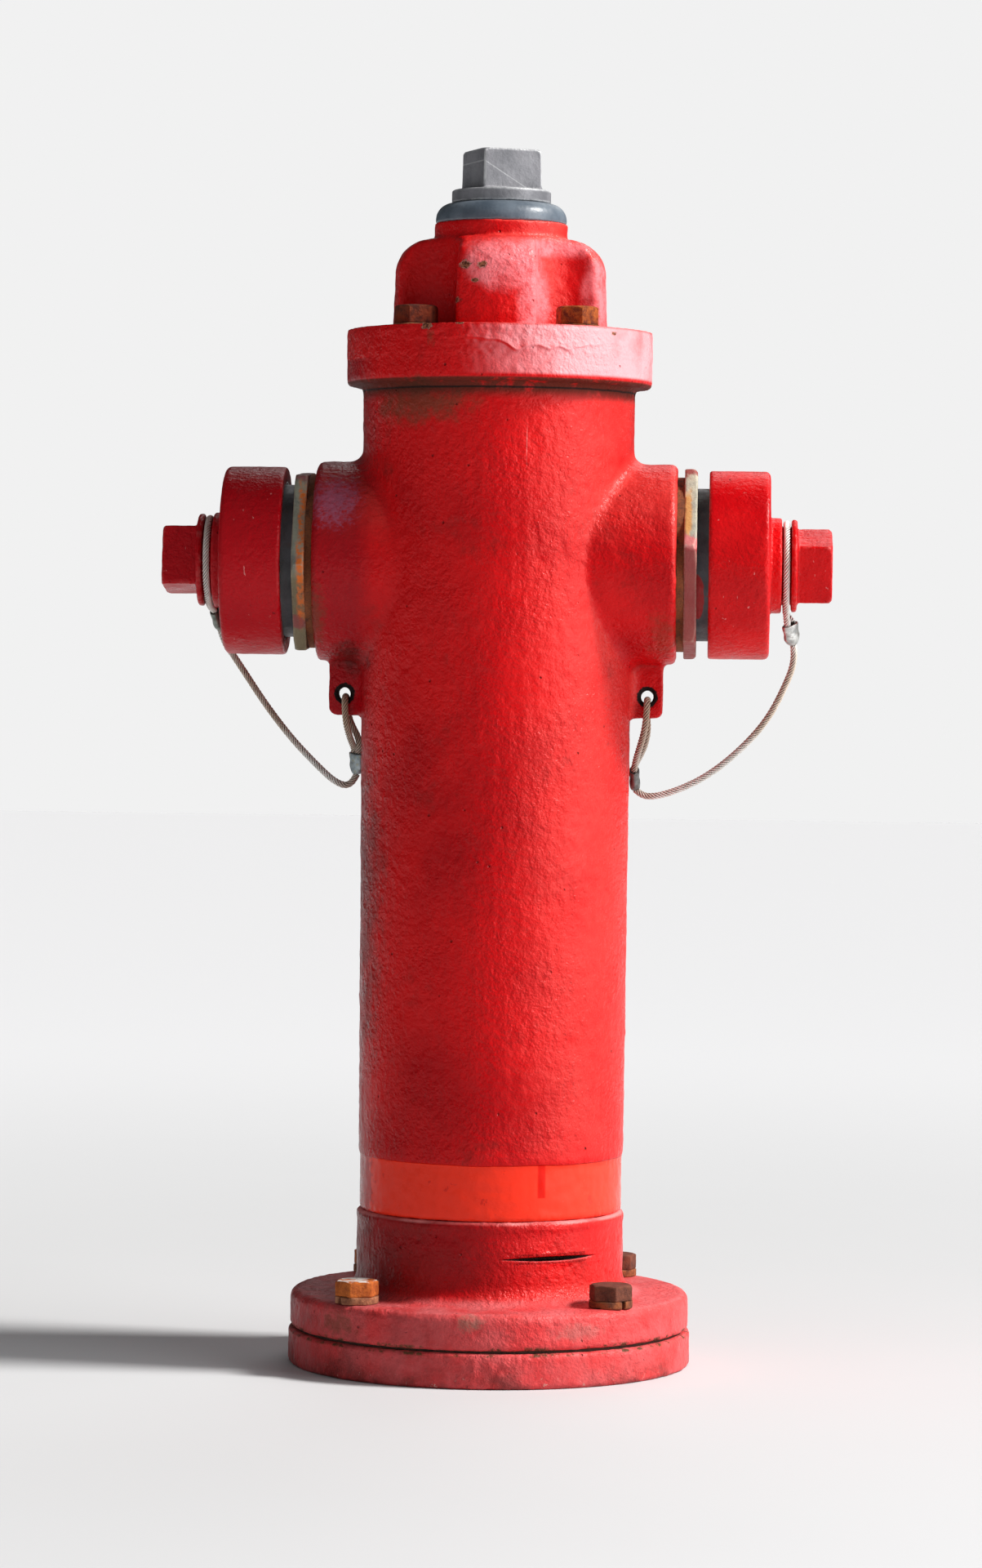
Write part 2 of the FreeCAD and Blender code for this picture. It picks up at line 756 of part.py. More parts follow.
seat_ring = turned("seat_ring", [
    ("seat_bore_radius", "seat_bottom_height"),
    ("seat_radius", "seat_bottom_height"),
    ("seat_radius", "base_flange_top"),
    ("seat_lip_radius", "base_flange_top"),
    ("seat_lip_radius", "seat_top", "seat_round"),
    ("seat_bore_radius", "seat_top", "seat_round"),
])
washer("valve_rubber", "valve_bore_radius", "rubber_radius", "seat_top", "(rubber_top - seat_top)")
washer("lower_valve_plate", "valve_bore_radius", "lower_plate_radius", "lower_plate_bottom",
       "(seat_top - lower_plate_bottom)")

valve_lock_nut = new_body("valve_lock_nut")
extrude(valve_lock_nut, "Pad", "XY_Plane", [prism("lock_nut_flats", 6)], "lock_nut_bottom",
        "lower_plate_bottom - lock_nut_bottom")
chamfer_prism(valve_lock_nut, "lock_nut_flats", 6, "lock_nut_bottom", "bolt_chamfer", upwards=False)
drill(valve_lock_nut, [("0", "0")], "valve_bore_radius", "lower_plate_bottom",
      "lower_plate_bottom - lock_nut_bottom")

upper_valve_plate = turned("upper_valve_plate", [
    ("valve_bore_radius", "rubber_top"),
    ("upper_plate_radius", "rubber_top"),
    ("upper_plate_radius", "upper_plate_top"),
    ("valve_hub_radius", "upper_plate_top"),
    ("valve_hub_radius", "valve_hub_top"),
    ("valve_bore_radius", "valve_hub_top"),
])
ear_outlines = [
    [
        (f"{across} * ear_near", f"{side} * ear_inside"),
        (f"{across} * ear_far", f"{side} * ear_inside"),
        (f"{across} * ear_far", f"{side} * ear_outside"),
        (f"{across} * ear_near", f"{side} * ear_outside"),
    ]
    for side in (1, -1)
    for across in (1, -1)
]
extrude(upper_valve_plate, "Pad", "XY_Plane", ear_outlines, "rubber_top", "ear_length")

# Bolts and washers.


def hex_bolt(label, tip, seat, head):
    """A hexagon bolt standing on its own axis, from the tip of its shank to the top of its head."""
    bolt = turned(label, [
        ("0", tip),
        ("bolt_radius - bolt_tip_chamfer", tip),
        ("bolt_radius", f"{tip} + bolt_tip_chamfer"),
        ("bolt_radius", f"{seat} + bolt_head_overlap"),
        ("0", f"{seat} + bolt_head_overlap"),
    ], keep=False)
    extrude(bolt, "Pad", "XY_Plane", [prism("bolt_flats", 6)], seat, head)
    chamfer_prism(bolt, "bolt_flats", 6, f"{seat} + {head}", "bolt_chamfer")
    return bolt


base_bolt = hex_bolt("base_bolt", "base_bolt_bottom", "foot_flange_top + spring_washer_height",
                     "base_head_height")
spring_washer = washer("spring_washer", "bolt_hole_radius", "spring_washer_radius", "foot_flange_top",
                       "spring_washer_height", {"Angle": "spring_washer_turn"}, keep=False)
bonnet_bolt = hex_bolt("bonnet_bolt", "bonnet_bolt_bottom", "bonnet_flange_top + flat_washer_height",
                       "bonnet_head_height")
flat_washer = washer("flat_washer", "bolt_hole_radius", "flat_washer_radius", "bonnet_flange_top",
                     "flat_washer_height", keep=False)
group("base_bolts", around_axis(base_bolt, size("base_bolt_circle")))
group("base_spring_washers", around_axis(spring_washer, size("base_bolt_circle")))
group("bonnet_bolts", around_axis(bonnet_bolt, size("bonnet_bolt_circle")))
group("bonnet_washers", around_axis(flat_washer, size("bonnet_bolt_circle")))

# Outlets. Each piece is made standing on its own Z, which is then laid along the outlet's axis.


def lay_along_outlet(body, side, turn=0):
    """Turns a piece about its own axis, then points it out of an outlet."""
    outwards = Rotation(Vector(0, 1, 0), 90 * side)
    body.Placement = Placement(Vector(0, 0, 0), outwards.multiply(Rotation(Vector(0, 0, 1), turn)))
    body.setExpression("Placement.Base.z", bound("outlet_height"))


def make_outlet(name, side):
    gasket = washer(f"{name}_nozzle_gasket", "nozzle_bore_radius", "nozzle_gasket_radius", "boss_reach",
                    "(lock_ring_inside - boss_reach)")
    lock_ring = new_body(f"{name}_lock_ring")
    extrude(lock_ring, "Pad", "XY_Plane", [prism("lock_ring_flats", 6)], "lock_ring_inside",
            "lock_ring_outside - lock_ring_inside")
    chamfer_prism(lock_ring, "lock_ring_flats", 6, "lock_ring_outside", "lock_ring_chamfer")
    drill(lock_ring, [("0", "0")], "nozzle_bore_radius", "lock_ring_outside",
          "lock_ring_outside - lock_ring_inside")
    nozzle = turned(f"{name}_nozzle", [
        ("nozzle_inside", "nozzle_seat_reach"),
        ("nozzle_radius", "nozzle_seat_reach"),
        ("nozzle_radius", "nozzle_shoulder"),
        ("nozzle_thread_radius", "nozzle_shoulder + thread_runout"),
        ("nozzle_thread_radius", "nozzle_end - thread_runout"),
        ("nozzle_thread_radius - thread_runout", "nozzle_end"),
        ("nozzle_inside", "nozzle_end"),
    ])
    cap = turned(f"{name}_cap", [
        ("cap_mouth_radius", "cap_mouth"),
        ("cap_radius", "cap_mouth", "cap_mouth_round"),
        ("cap_radius", "cap_face", "cap_face_round"),
        ("cap_hub_radius", "cap_face", "cap_collar_round"),
        ("cap_hub_radius", "cap_hub_face", "cap_collar_round"),
        ("cap_groove_radius", "cap_hub_face"),
        ("cap_groove_radius", "cap_collar_inside"),
        ("cap_collar_radius", "cap_collar_inside"),
        ("cap_collar_radius", "cap_collar_face", "cap_collar_round"),
        ("0", "cap_collar_face"),
        ("0", "cap_seat_reach"),
        ("cap_thread_radius", "cap_seat_reach"),
        ("cap_thread_radius", "cap_mouth + 2 * cap_mouth_depth"),
        ("cap_mouth_radius", "cap_mouth + cap_mouth_depth"),
    ])
    extrude(cap, "Pad", "XY_Plane", [prism("cap_flats", 4)], "cap_collar_face",
            "cap_end - cap_collar_face")
    chamfer_prism(cap, "cap_flats", 4, "cap_end", "square_chamfer")
    cap_gasket = washer(f"{name}_cap_gasket", "cap_gasket_bore", "cap_gasket_radius", "nozzle_end",
                        "(cap_seat_reach - nozzle_end)")
    for body in (gasket, nozzle, cap_gasket):
        lay_along_outlet(body, side)
    lay_along_outlet(lock_ring, side, LOCK_RING_TURNS[name])
    lay_along_outlet(cap, side, CAP_TURNS[name])


for name, side in SIDES.items():
    make_outlet(name, side)

# Tethers. Each rope has a loop round the cap's groove, a ferrule, a hanging span, a second ferrule and a
# loop through the lug. A route is a list of points, and each bend is an arc as large as its runs allow.


def smooth_path(points):
    """Straight runs joined by tangent arcs, with the radius of every bend."""
    edges = []
    radii = []
    start = points[0]
    for before, corner, after in zip(points, points[1:], points[2:]):
        back = (before - corner).normalize()
        ahead = (after - corner).normalize()
        half_turn = (math.pi - back.getAngle(ahead)) / 2
        run = min((before - corner).Length, (after - corner).Length)
        setback = SHARE_OF_RUN * run
        radius = setback / math.tan(half_turn)
        inwards = (back + ahead).normalize()
        middle = corner + inwards * (radius / math.cos(half_turn) - radius)
        arc_start = corner + back * setback
        arc_end = corner + ahead * setback
        edges.append(Part.LineSegment(start, arc_start).toShape())
        edges.append(Part.Arc(arc_start, middle, arc_end).toShape())
        radii.append(radius)
        start = arc_end
    edges.append(Part.LineSegment(start, points[-1]).toShape())
    return Part.Wire(edges), radii


def rope(label, points):
    radius = size("rope_radius")
    path, radii = smooth_path(points)
    heading = (points[1] - points[0]).normalize()
    section = Part.Wire([Part.makeCircle(radius, points[0], heading)])
    tube = path.makePipeShell([section], True, False)
    expected = math.pi * radius ** 2 * path.Length
    if abs(tube.Volume / expected - 1) > 0.01:
        raise ValueError(f"{label}: its volume is {tube.Volume:.0f}, not {expected:.0f}")
    print(f"{label}: length {path.Length:.1f}, radii", [round(bend, 1) for bend in radii])
    feature = document.addObject("Part::Feature", label)
    feature.Label = label
    feature.Shape = tube
    nodes.append(feature)


def ferrule(label, mouth, tail, across):
    """An oval sleeve, pressed round two strands at its mouth and tapering to one at its tail."""
    def oval(height, wide, deep):
        curve = Part.Ellipse(Vector(0, 0, height), wide, deep)
        return Part.Wire([curve.toShape()])

    wide = size("ferrule_half_width")
    deep = size("ferrule_half_depth")
    end = size("ferrule_end_radius")
    sleeve = Part.makeLoft([oval(0, wide, deep), oval(size("ferrule_taper_start"), wide, deep)], True, True)
    cone = Part.makeLoft(
        [
            oval(size("ferrule_taper_start"), wide, deep),
            oval(size("ferrule_length"), end + NEARLY_ROUND, end),
        ],
        True, True,
    )
    feature = document.addObject("Part::Feature", label)
    feature.Label = label
    feature.Shape = sleeve.fuse(cone).removeSplitter()
    feature.Placement = Placement(mouth, Rotation(across, Vector(), tail - mouth, "ZXY"))
    nodes.append(feature)


def on_cap(side, swing, reach, drop, across):
    """A point near a cap's groove: how far out, and how far below and beside the axis, swung backwards."""
    turn = math.radians(swing)
    return Vector(
        side * reach,
        drop * math.sin(turn) + across * math.cos(turn),
        size("outlet_height") - drop * math.cos(turn) + across * math.sin(turn),
    )


def cap_loop_route(side, swing, back_tail, front_tail):
    """From the ferrule up the back of the groove, over the top and down the front to the ferrule."""
    corner_radius = size("loop_radius") / math.cos(math.radians(LOOP_CORNER / 2))
    ring = []
    for angle in range(45, 316, LOOP_CORNER):
        turn = math.radians(angle)
        drop = corner_radius * math.cos(turn)
        across = corner_radius * math.sin(turn)
        ring.append((size("loop_reach"), drop, across))
    route = back_tail + ring + front_tail
    return [on_cap(side, swing, *point) for point in route]


rope("right_cap_loop", cap_loop_route(
    1, 0,
    [(162.9, 31.3, -1.1), (161.7, 29.1, 0.4), (159.4, 26.7, 4.2), (159.2, 22.3, 10.8)],
    [(159.1, 22.9, -11.4), (159.3, 27.4, -7.2), (159.7, 30.2, -4.6), (160.1, 32.7, -3.3)],
))
rope("left_cap_loop", cap_loop_route(
    -1, 25,
    [(157.6, 30.1, 1.9), (157.9, 28.6, 2.9), (158.6, 26.5, 5.8), (159.1, 22.2, 11.3)],
    [(159.1, 22.6, -10.9), (158.6, 26.7, -5.6), (157.9, 28.7, -2.8), (157.6, 30.2, -1.9)],
))

cap_ferrules = {
    "right": (Vector(161.5, -2.2, 409.5), Vector(0.16, 0.35, -0.92), Vector(0.72, 0.6, 0.35)),
    "left": (Vector(-157.6, 12.8, 414.2), Vector(0.2, 0.5, -0.84), Vector(0, 0.86, 0.5)),
}
lug_ferrules = {
    "right": (Vector(76.6, 12, 328.1), Vector(0.05, 0.42, -0.91), Vector(0, 0.91, 0.42)),
    "left": (Vector(-77.8, 12, 335.6), Vector(0.02, 0.21, -0.98), Vector(-0.64, 0.75, 0.16)),
}
for place, ferrules in (("cap", cap_ferrules), ("lug", lug_ferrules)):
    for name, (mouth, heading, across) in ferrules.items():
        tail = mouth + heading.normalize() * size("ferrule_length")
        ferrule(f"{name}_{place}_ferrule", mouth, tail, across)

rope("right_tether", [Vector(*point) for point in (
    (163.46, 2.08, 398.25),
    (164.9, 5.3, 389.9),
    (159.2, 7.5, 374.4),
    (149.6, 9.4, 355.8),
    (134.6, 11.4, 339.0),
    (117.6, 13.2, 325.2),
    (101.2, 14.8, 317.0),
    (88.6, 16.2, 313.2),
    (80.6, 17.2, 313.6),
    (77.2, 17.0, 317.2),
)])
rope("left_tether", [Vector(*point) for point in (
    (-155.12, 19.0, 403.78),
    (-153.3, 23.55, 396.14),
    (-148.4, 26.8, 390.6),
    (-139.4, 25.2, 380.6),
    (-126.2, 22.6, 363.6),
    (-111.9, 19.6, 345.6),
    (-99.2, 17.0, 331.0),
    (-88.9, 15.3, 320.2),
    (-80.6, 14.3, 317.8),
    (-77.6, 14.5, 323.8),
)])
rope("right_lug_loop", [Vector(*point) for point in (
    (76.6, 10.3, 327.3),
    (76.9, 8.7, 330.4),
    (77.9, 5.2, 335.0),
    (80.2, -0.6, 342.5),
    (82.4, -5.6, 350.5),
    (83.3, -6.9, 358.0),
    (83.6, -6.6, 366.9),
    (83.6, 6.6, 366.9),
    (83.4, 7.0, 358.0),
    (84.0, 7.2, 349.8),
    (82.4, 9.2, 341.6),
    (79.4, 11.6, 335.0),
    (77.3, 13.0, 331.6),
    (76.6, 13.7, 328.9),
)])
rope("left_lug_loop", [Vector(*point) for point in (
    (-79.0, 13.4, 335.9),
    (-79.2, 12.4, 338.3),
    (-79.8, 8.8, 340.6),
    (-80.9, 2.2, 344.4),
    (-82.2, -4.6, 350.8),
    (-82.9, -6.9, 358.4),
    (-83.1, -6.6, 366.9),
    (-83.1, 6.6, 366.9),
    (-82.7, 7.0, 358.4),
    (-80.3, 7.5, 351.2),
    (-77.0, 8.8, 345.2),
    (-75.8, 10.0, 340.0),
    (-76.3, 10.5, 337.4),
    (-76.6, 10.6, 335.3),
)])

# Checks and export.

document.recompute()
for item in document.Objects:
    if "Invalid" in item.State or "Error" in item.State:
        raise ValueError(f"{item.Name} is {item.State}")
for node in nodes:
    shape = node.Shape
    if shape.isNull() or not shape.isValid() or not shape.Solids:
        raise ValueError(f"{node.Label} has no valid solid")

os.makedirs("parts", exist_ok=True)
for node in nodes:
    node.Shape.exportStep(f"parts/{node.Label}.step")
print(len(nodes), "nodes")
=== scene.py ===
"""A red fire hydrant with two capped outlets and wire rope tethers.

Lengths are in metres. +Z is up, and the outlets point along +X (right) and -X (left).
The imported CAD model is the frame: each piece here stands for a CAD node, or gives one its finish.
"""

import json
import math

import bmesh
import bpy
import numpy as np
from mathutils import Matrix, Vector, noise

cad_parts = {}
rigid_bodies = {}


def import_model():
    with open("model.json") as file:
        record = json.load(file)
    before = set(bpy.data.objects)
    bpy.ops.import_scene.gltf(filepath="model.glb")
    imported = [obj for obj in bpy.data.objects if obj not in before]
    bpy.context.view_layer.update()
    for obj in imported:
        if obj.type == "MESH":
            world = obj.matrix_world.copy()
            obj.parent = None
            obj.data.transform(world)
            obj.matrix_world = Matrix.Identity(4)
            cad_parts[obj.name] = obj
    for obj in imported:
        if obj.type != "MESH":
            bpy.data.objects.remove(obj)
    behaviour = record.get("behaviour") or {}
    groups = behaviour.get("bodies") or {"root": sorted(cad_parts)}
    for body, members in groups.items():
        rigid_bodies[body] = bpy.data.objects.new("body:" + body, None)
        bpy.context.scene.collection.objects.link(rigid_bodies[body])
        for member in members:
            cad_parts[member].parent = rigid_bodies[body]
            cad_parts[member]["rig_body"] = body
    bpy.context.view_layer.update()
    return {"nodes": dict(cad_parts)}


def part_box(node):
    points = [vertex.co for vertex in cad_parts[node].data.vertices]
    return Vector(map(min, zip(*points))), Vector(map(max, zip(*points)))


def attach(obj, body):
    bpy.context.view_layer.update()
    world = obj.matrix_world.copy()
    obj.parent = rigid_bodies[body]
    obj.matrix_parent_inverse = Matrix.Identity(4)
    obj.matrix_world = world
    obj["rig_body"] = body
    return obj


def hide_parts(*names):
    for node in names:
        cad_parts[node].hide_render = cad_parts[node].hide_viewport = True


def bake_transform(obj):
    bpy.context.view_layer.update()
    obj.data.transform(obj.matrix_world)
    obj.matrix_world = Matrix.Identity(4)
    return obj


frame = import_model()
NODES = frame["nodes"]
MM = 0.001
SIDES = {"right": 1, "left": -1}

# Camera: the photograph's viewing angle.
CAMERA_DISTANCE = 2.714
CAMERA_HEIGHT = 0.392
CAMERA_LENS_MM = 112.875
CAMERA_SENSOR_MM = 36
CAMERA_BEARING = 2.5
CAMERA_PITCH_DOWN = 1.53
CAMERA_YAW = 0.046
CAMERA_ROLL = 0.65

# Studio: how bright the surroundings are for the hydrant and for the camera, and the soft lights.
AMBIENT_LIGHT = 0.07
BACKDROP_LIGHT = 0.88
SOFT_LIGHTS = (
    # name, bearing, elevation, strength, width in degrees, colour
    ("key_light", 84, 44, 4.4, 11, (1, 0.97, 0.94)),
    ("fill_light", -25, 30, 0.3, 80, (0.95, 0.97, 1)),
    ("back_light", 165, 38, 0.5, 40, (1, 1, 1)),
)
# The large soft panel to the right: its bearing, distance, height, width, depth and power.
PANEL = (66, 1.6, 0.75, 1.1, 1.3, 17)

# Wire rope: six strands laid round a core.
STRANDS = 6
STRAND_CENTRE = 0.00128
STRAND_RADIUS = 0.00063
CORE_RADIUS = 0.00062
LAY_LENGTH = 0.0118
ROPE_STEP = 0.0009
STRAND_SIDES = 10

# The outlets' height and the pitch of their hose threads.
OUTLET_HEIGHT = 0.4415
THREAD_PITCH = 0.003387

# The rough skin of the sand castings: the length of its waves, and (wave depth, grain depth, grain size).
WAVE_LENGTH = 0.035
CAST_ROUGHNESS = (0.0006, 0.0008, 0.0055)

# The ring at the top of the barrel, which the bonnet's flange continues.
RING_RADIUS = 0.084

# The operating nut's bore, a little wider than the stem that rises into it.
NUT_BORE_RADIUS = 0.0123
NUT_BORE_TOP = 0.639

# The lugs' tether holes: reach and height, radius, how much the lining narrows them and how far it spreads.
LUG_HOLE = (0.0835, 0.3685)
LUG_HOLE_RADIUS = 0.0043
LUG_HOLE_LINING = 0.0008
LUG_HOLE_SPREAD = 0.0064
LUG_THICKNESS = 0.008

# The slit in the foot's hub: the place where a wide V-edged ring bites it.
HUB_RADIUS = 0.0736
SLIT_HEIGHT = 0.065
SLIT_BEARING = 30.25
SLIT_OFFSET = 0.0577
SLIT_RADIUS = 0.12795
SLIT_SLOPE = 0.47


# Small tools


def link(piece):
    bpy.context.scene.collection.objects.link(piece)
    return piece


def new_piece(name, vertices, faces):
    mesh = bpy.data.meshes.new(name)
    mesh.from_pydata([tuple(v) for v in vertices], [], faces)
    mesh.validate()
    mesh.shade_smooth()
    return link(bpy.data.objects.new(name, mesh))


def weld(piece, turn_out=True):
    """Joins points that lie in one place, and turns the faces of a closed piece out."""
    work = bmesh.new()
    work.from_mesh(piece.data)
    bmesh.ops.remove_doubles(work, verts=work.verts, dist=1e-6)
    if turn_out:
        bmesh.ops.recalc_face_normals(work, faces=work.faces)
    work.to_mesh(piece.data)
    work.free()


def vectors_of(piece, kind="co"):
    """An array of the mesh's points, or of their normals."""
    flat = np.empty(len(piece.data.vertices) * 3)
    piece.data.vertices.foreach_get(kind, flat)
    return flat.reshape(-1, 3)


def move_points(piece, points):
    piece.data.vertices.foreach_set("co", points.ravel())
    piece.data.update()


def evaluated_mesh(piece):
    bpy.context.view_layer.update()
    graph = bpy.context.evaluated_depsgraph_get()
    return bpy.data.meshes.new_from_object(piece.evaluated_get(graph))


def bake_modifiers(piece):
    """Puts the result of a piece's modifiers into its mesh, and removes them."""
    made = evaluated_mesh(piece)
    piece.modifiers.clear()
    piece.data = made
    made.shade_smooth()


def dress(piece, material):
    """Gives a piece one material all over."""
    piece.data.materials.clear()
    piece.data.materials.append(material)


def stand_in(piece, node, material):
    """piece takes the place of a CAD node, on its body, dressed in material."""
    dress(piece, material)
    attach(piece, NODES[node]["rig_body"])
    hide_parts(node)


def smooth_step(value, low, high):
    share = np.clip((value - low) / (high - low), 0, 1)
    return share * share * (3 - 2 * share)


def tube_faces(rows, sides, closed_ends=True):
    """Quads round a tube of rows rings with sides points each, and a face at each end."""
    faces = []
    for row in range(rows - 1):
        for side in range(sides):
            after = (side + 1) % sides
            low, high = row * sides, (row + 1) * sides
            faces.append((low + side, low + after, high + after, high + side))
    if closed_ends:
        faces.append(tuple(range(sides - 1, -1, -1)))
        faces.append(tuple((rows - 1) * sides + side for side in range(sides)))
    return faces


# Camera, floor and lights


def heading(bearing, elevation=0):
    """The unit vector out from the hydrant at these degrees. Bearing 0 is the front, 90 the right."""
    turn, rise = math.radians(bearing), math.radians(elevation)
    return Vector((math.sin(turn) * math.cos(rise), -math.cos(turn) * math.cos(rise), math.sin(rise)))


def make_camera():
    data = bpy.data.cameras.new("camera")
    data.lens = CAMERA_LENS_MM
    data.sensor_width = CAMERA_SENSOR_MM
    data.clip_start = 0.1
    camera = link(bpy.data.objects.new("camera", data))
    camera.location = heading(CAMERA_BEARING) * CAMERA_DISTANCE + Vector((0, 0, CAMERA_HEIGHT))
    turn = Matrix.Rotation(math.radians(CAMERA_BEARING + CAMERA_YAW), 3, "Z")
    turn = turn @ Matrix.Rotation(math.radians(90 - CAMERA_PITCH_DOWN), 3, "X")
    turn = turn @ Matrix.Rotation(math.radians(CAMERA_ROLL), 3, "Z")
    camera.rotation_euler = turn.to_euler()
    bpy.context.scene.camera = camera


def soft_light(name, bearing, elevation, strength, width, colour):
    """An even light from far away, from a disc of the sky that is width degrees wide."""
    data = bpy.data.lights.new(name, "SUN")
    data.energy = strength
    data.angle = math.radians(width)
    data.color = colour
    light = link(bpy.data.objects.new(name, data))
    light.rotation_euler = heading(bearing, elevation).to_track_quat("Z", "Y").to_euler()


def soft_panel(bearing, distance, height, width, depth, power):
    """A large flat lamp that faces the middle of the hydrant."""
    data = bpy.data.lights.new("soft_panel", "AREA")
    data.shape = "RECTANGLE"
    data.size, data.size_y = width, depth
    data.energy = power
    light = link(bpy.data.objects.new("soft_panel", data))
    light.location = heading(bearing) * distance + Vector((0, 0, height))
    aim = light.location - Vector((0, 0, CAMERA_HEIGHT))
    light.rotation_euler = aim.to_track_quat("Z", "Y").to_euler()


def make_studio():
    scene = bpy.context.scene
    scene.view_settings.view_transform = "Standard"
    scene.world = bpy.data.worlds.new("studio")
    scene.world.use_nodes = True
    tree = scene.world.node_tree
    sky = tree.nodes["Background"]
    sky.inputs["Color"].default_value = (1, 1, 1, 1)
    seen = tree.nodes.new("ShaderNodeLightPath").outputs["Is Camera Ray"]
    level = tree.nodes.new("ShaderNodeMapRange")
    level.inputs["To Min"].default_value = AMBIENT_LIGHT
    level.inputs["To Max"].default_value = BACKDROP_LIGHT
    tree.links.new(seen, level.inputs["Value"])
    tree.links.new(level.outputs[0], sky.inputs["Strength"])
    for light in SOFT_LIGHTS:
        soft_light(*light)
    soft_panel(*PANEL)
    floor = new_piece("floor", [(-6, -4, 0), (6, -4, 0), (6, 9, 0), (-6, 9, 0)], [(0, 1, 2, 3)])
    floor.data.materials.append(floor_finish())


# Materials


class Field:
    """What one output of a node gives over the surface. a | b is the larger of the two."""

    def __init__(self, look, socket):
        self.look = look
        self.socket = socket

    def __mul__(self, other):
        return self.look.math("MULTIPLY", self, other)

    def __add__(self, other):
        return self.look.math("ADD", self, other)

    def __or__(self, other):
        return self.look.math("MAXIMUM", self, other)

    def __abs__(self):
        return self.look.math("ABSOLUTE", self)

    def ramp(self, low, high, start=0.0, end=1.0):
        """start where the field is low, end where it is high, and smooth between them."""
        inputs = {"Value": self, "From Min": low, "From Max": high, "To Min": start, "To Max": end}
        return self.look.add("ShaderNodeMapRange", inputs, interpolation_type="SMOOTHSTEP")

    def within(self, low, high, edge):
        """1 where the field lies between low and high, and 0 outside them, with soft edges."""
        return self.ramp(low - edge, low + edge) * self.ramp(high + edge, high - edge)


class Finish:
    """A material: its colour so far, and one short method for each kind of node."""

    def __init__(self, name):
        self.material = bpy.data.materials.new(name)
        self.material.use_nodes = True
        self.tree = self.material.node_tree
        self.tree.nodes.clear()
        self.place = self.add("ShaderNodeTexCoord", output="Object")
        self.colour = None

    def add(self, kind, inputs=None, output=0, **settings):
        """Adds a node, and gives the field of one of its outputs."""
        node = self.tree.nodes.new(kind)
        for name, value in settings.items():
            setattr(node, name, value)
        for socket, value in (inputs or {}).items():
            if isinstance(value, Field):
                self.tree.links.new(value.socket, node.inputs[socket])
            else:
                node.inputs[socket].default_value = value
        return Field(self, node.outputs[output]) if len(node.outputs) else None

    def math(self, operation, first, second=0.0):
        return self.add("ShaderNodeMath", {0: first, 1: second}, operation=operation)

    def vector(self, operation, first, second=(0, 0, 0), output=0):
        return self.add("ShaderNodeVectorMath", {0: first, 1: second}, output, operation=operation)

    def noise(self, per_metre, detail=3.0, roughness=0.55, stretch=None):
        """Smooth noise from 0 to 1, with about per_metre features in a metre, or streaks."""
        place = self.vector("MULTIPLY", self.place, stretch) if stretch else self.place
        inputs = {"Vector": place, "Scale": per_metre, "Detail": detail, "Roughness": roughness}
        return self.add("ShaderNodeTexNoise", inputs)

    def dots(self, per_metre, radius, share):
        """Round dots in a share of the cells of a random grid, 1 in their middle."""
        grid = {"Vector": self.place, "Scale": per_metre}
        near = self.add("ShaderNodeTexVoronoi", grid, "Distance").ramp(radius, 0)
        pick = self.add("ShaderNodeSeparateColor", {0: self.add("ShaderNodeTexVoronoi", grid, "Color")})
        return near * self.math("LESS_THAN", pick, share)

    def blot(self, centre, halves):
        """1 at centre, falling to 0 at the surface of an ellipsoid with those half sizes."""
        scaled = self.vector("DIVIDE", self.vector("SUBTRACT", self.place, centre), halves)
        return self.math("SUBTRACT", 1.0, self.vector("LENGTH", scaled, output="Value"))

    def axis(self, number):
        """One coordinate of the place: 0 for X, 1 for Y, 2 for Z."""
        return self.add("ShaderNodeSeparateXYZ", {0: self.place}, number)

    def from_axis(self):
        """The distance from the Z axis."""
        return self.vector("LENGTH", self.vector("MULTIPLY", self.place, (1, 1, 0)), output="Value")

    def geometry(self, output):
        return self.add("ShaderNodeNewGeometry", output=output)

    def upward(self):
        """How far the surface faces up, from -1 to 1."""
        return self.add("ShaderNodeSeparateXYZ", {0: self.geometry("Normal")}, 2)

    def towards(self, direction):
        """How far the surface faces a direction, from -1 to 1."""
        heading = Vector(direction).normalized()
        return self.vector("DOT_PRODUCT", self.geometry("Normal"), heading, "Value")

    def edges(self, low=0.52, high=0.58):
        """1 on sharp outer edges."""
        return self.geometry("Pointiness").ramp(low, high)

    def hollows(self, low=0.49, high=0.44):
        """1 in inner corners and pits."""
        return self.geometry("Pointiness").ramp(low, high)

    def mix(self, share, first, second):
        return self.add("ShaderNodeMix", {0: share, 6: first, 7: second}, 2, data_type="RGBA")

    def coat(self, tint, share):
        """Lays tint over the colour so far, fully where share is 1."""
        self.colour = self.mix(share, self.colour, tint)

    def stain(self, tint, share, centre, halves, scale=60):
        """A cloudy patch of tint round a point, thinner outwards, with ragged holes."""
        patch = self.math("SQRT", self.blot(centre, halves) | 0.0)
        self.coat(tint, (patch * 0.5 + self.noise(scale, 7, 0.75)).ramp(0.7, 1.0, 0, share))

    def finish(self, roughness, height=None, relief=MM, gloss=0.5, metal=0.0):
        """The surface: height is the bump, and relief its height in metres."""
        inputs = {
            "Base Color": self.colour,
            "Roughness": roughness,
            "Specular IOR Level": gloss,
            "Metallic": metal,
        }
        if height:
            inputs["Normal"] = self.add("ShaderNodeBump", {"Height": height, "Distance": relief})
        self.add("ShaderNodeOutputMaterial", {"Surface": self.add("ShaderNodeBsdfPrincipled", inputs)})
        return self.material


def rgb(red, green, blue):
    """A colour from its usual values from 0 to 255."""
    shares = [value / 255 for value in (red, green, blue)]
    return tuple(((s + 0.055) / 1.055) ** 2.4 if s > 0.04 else s / 12.92 for s in shares) + (1,)


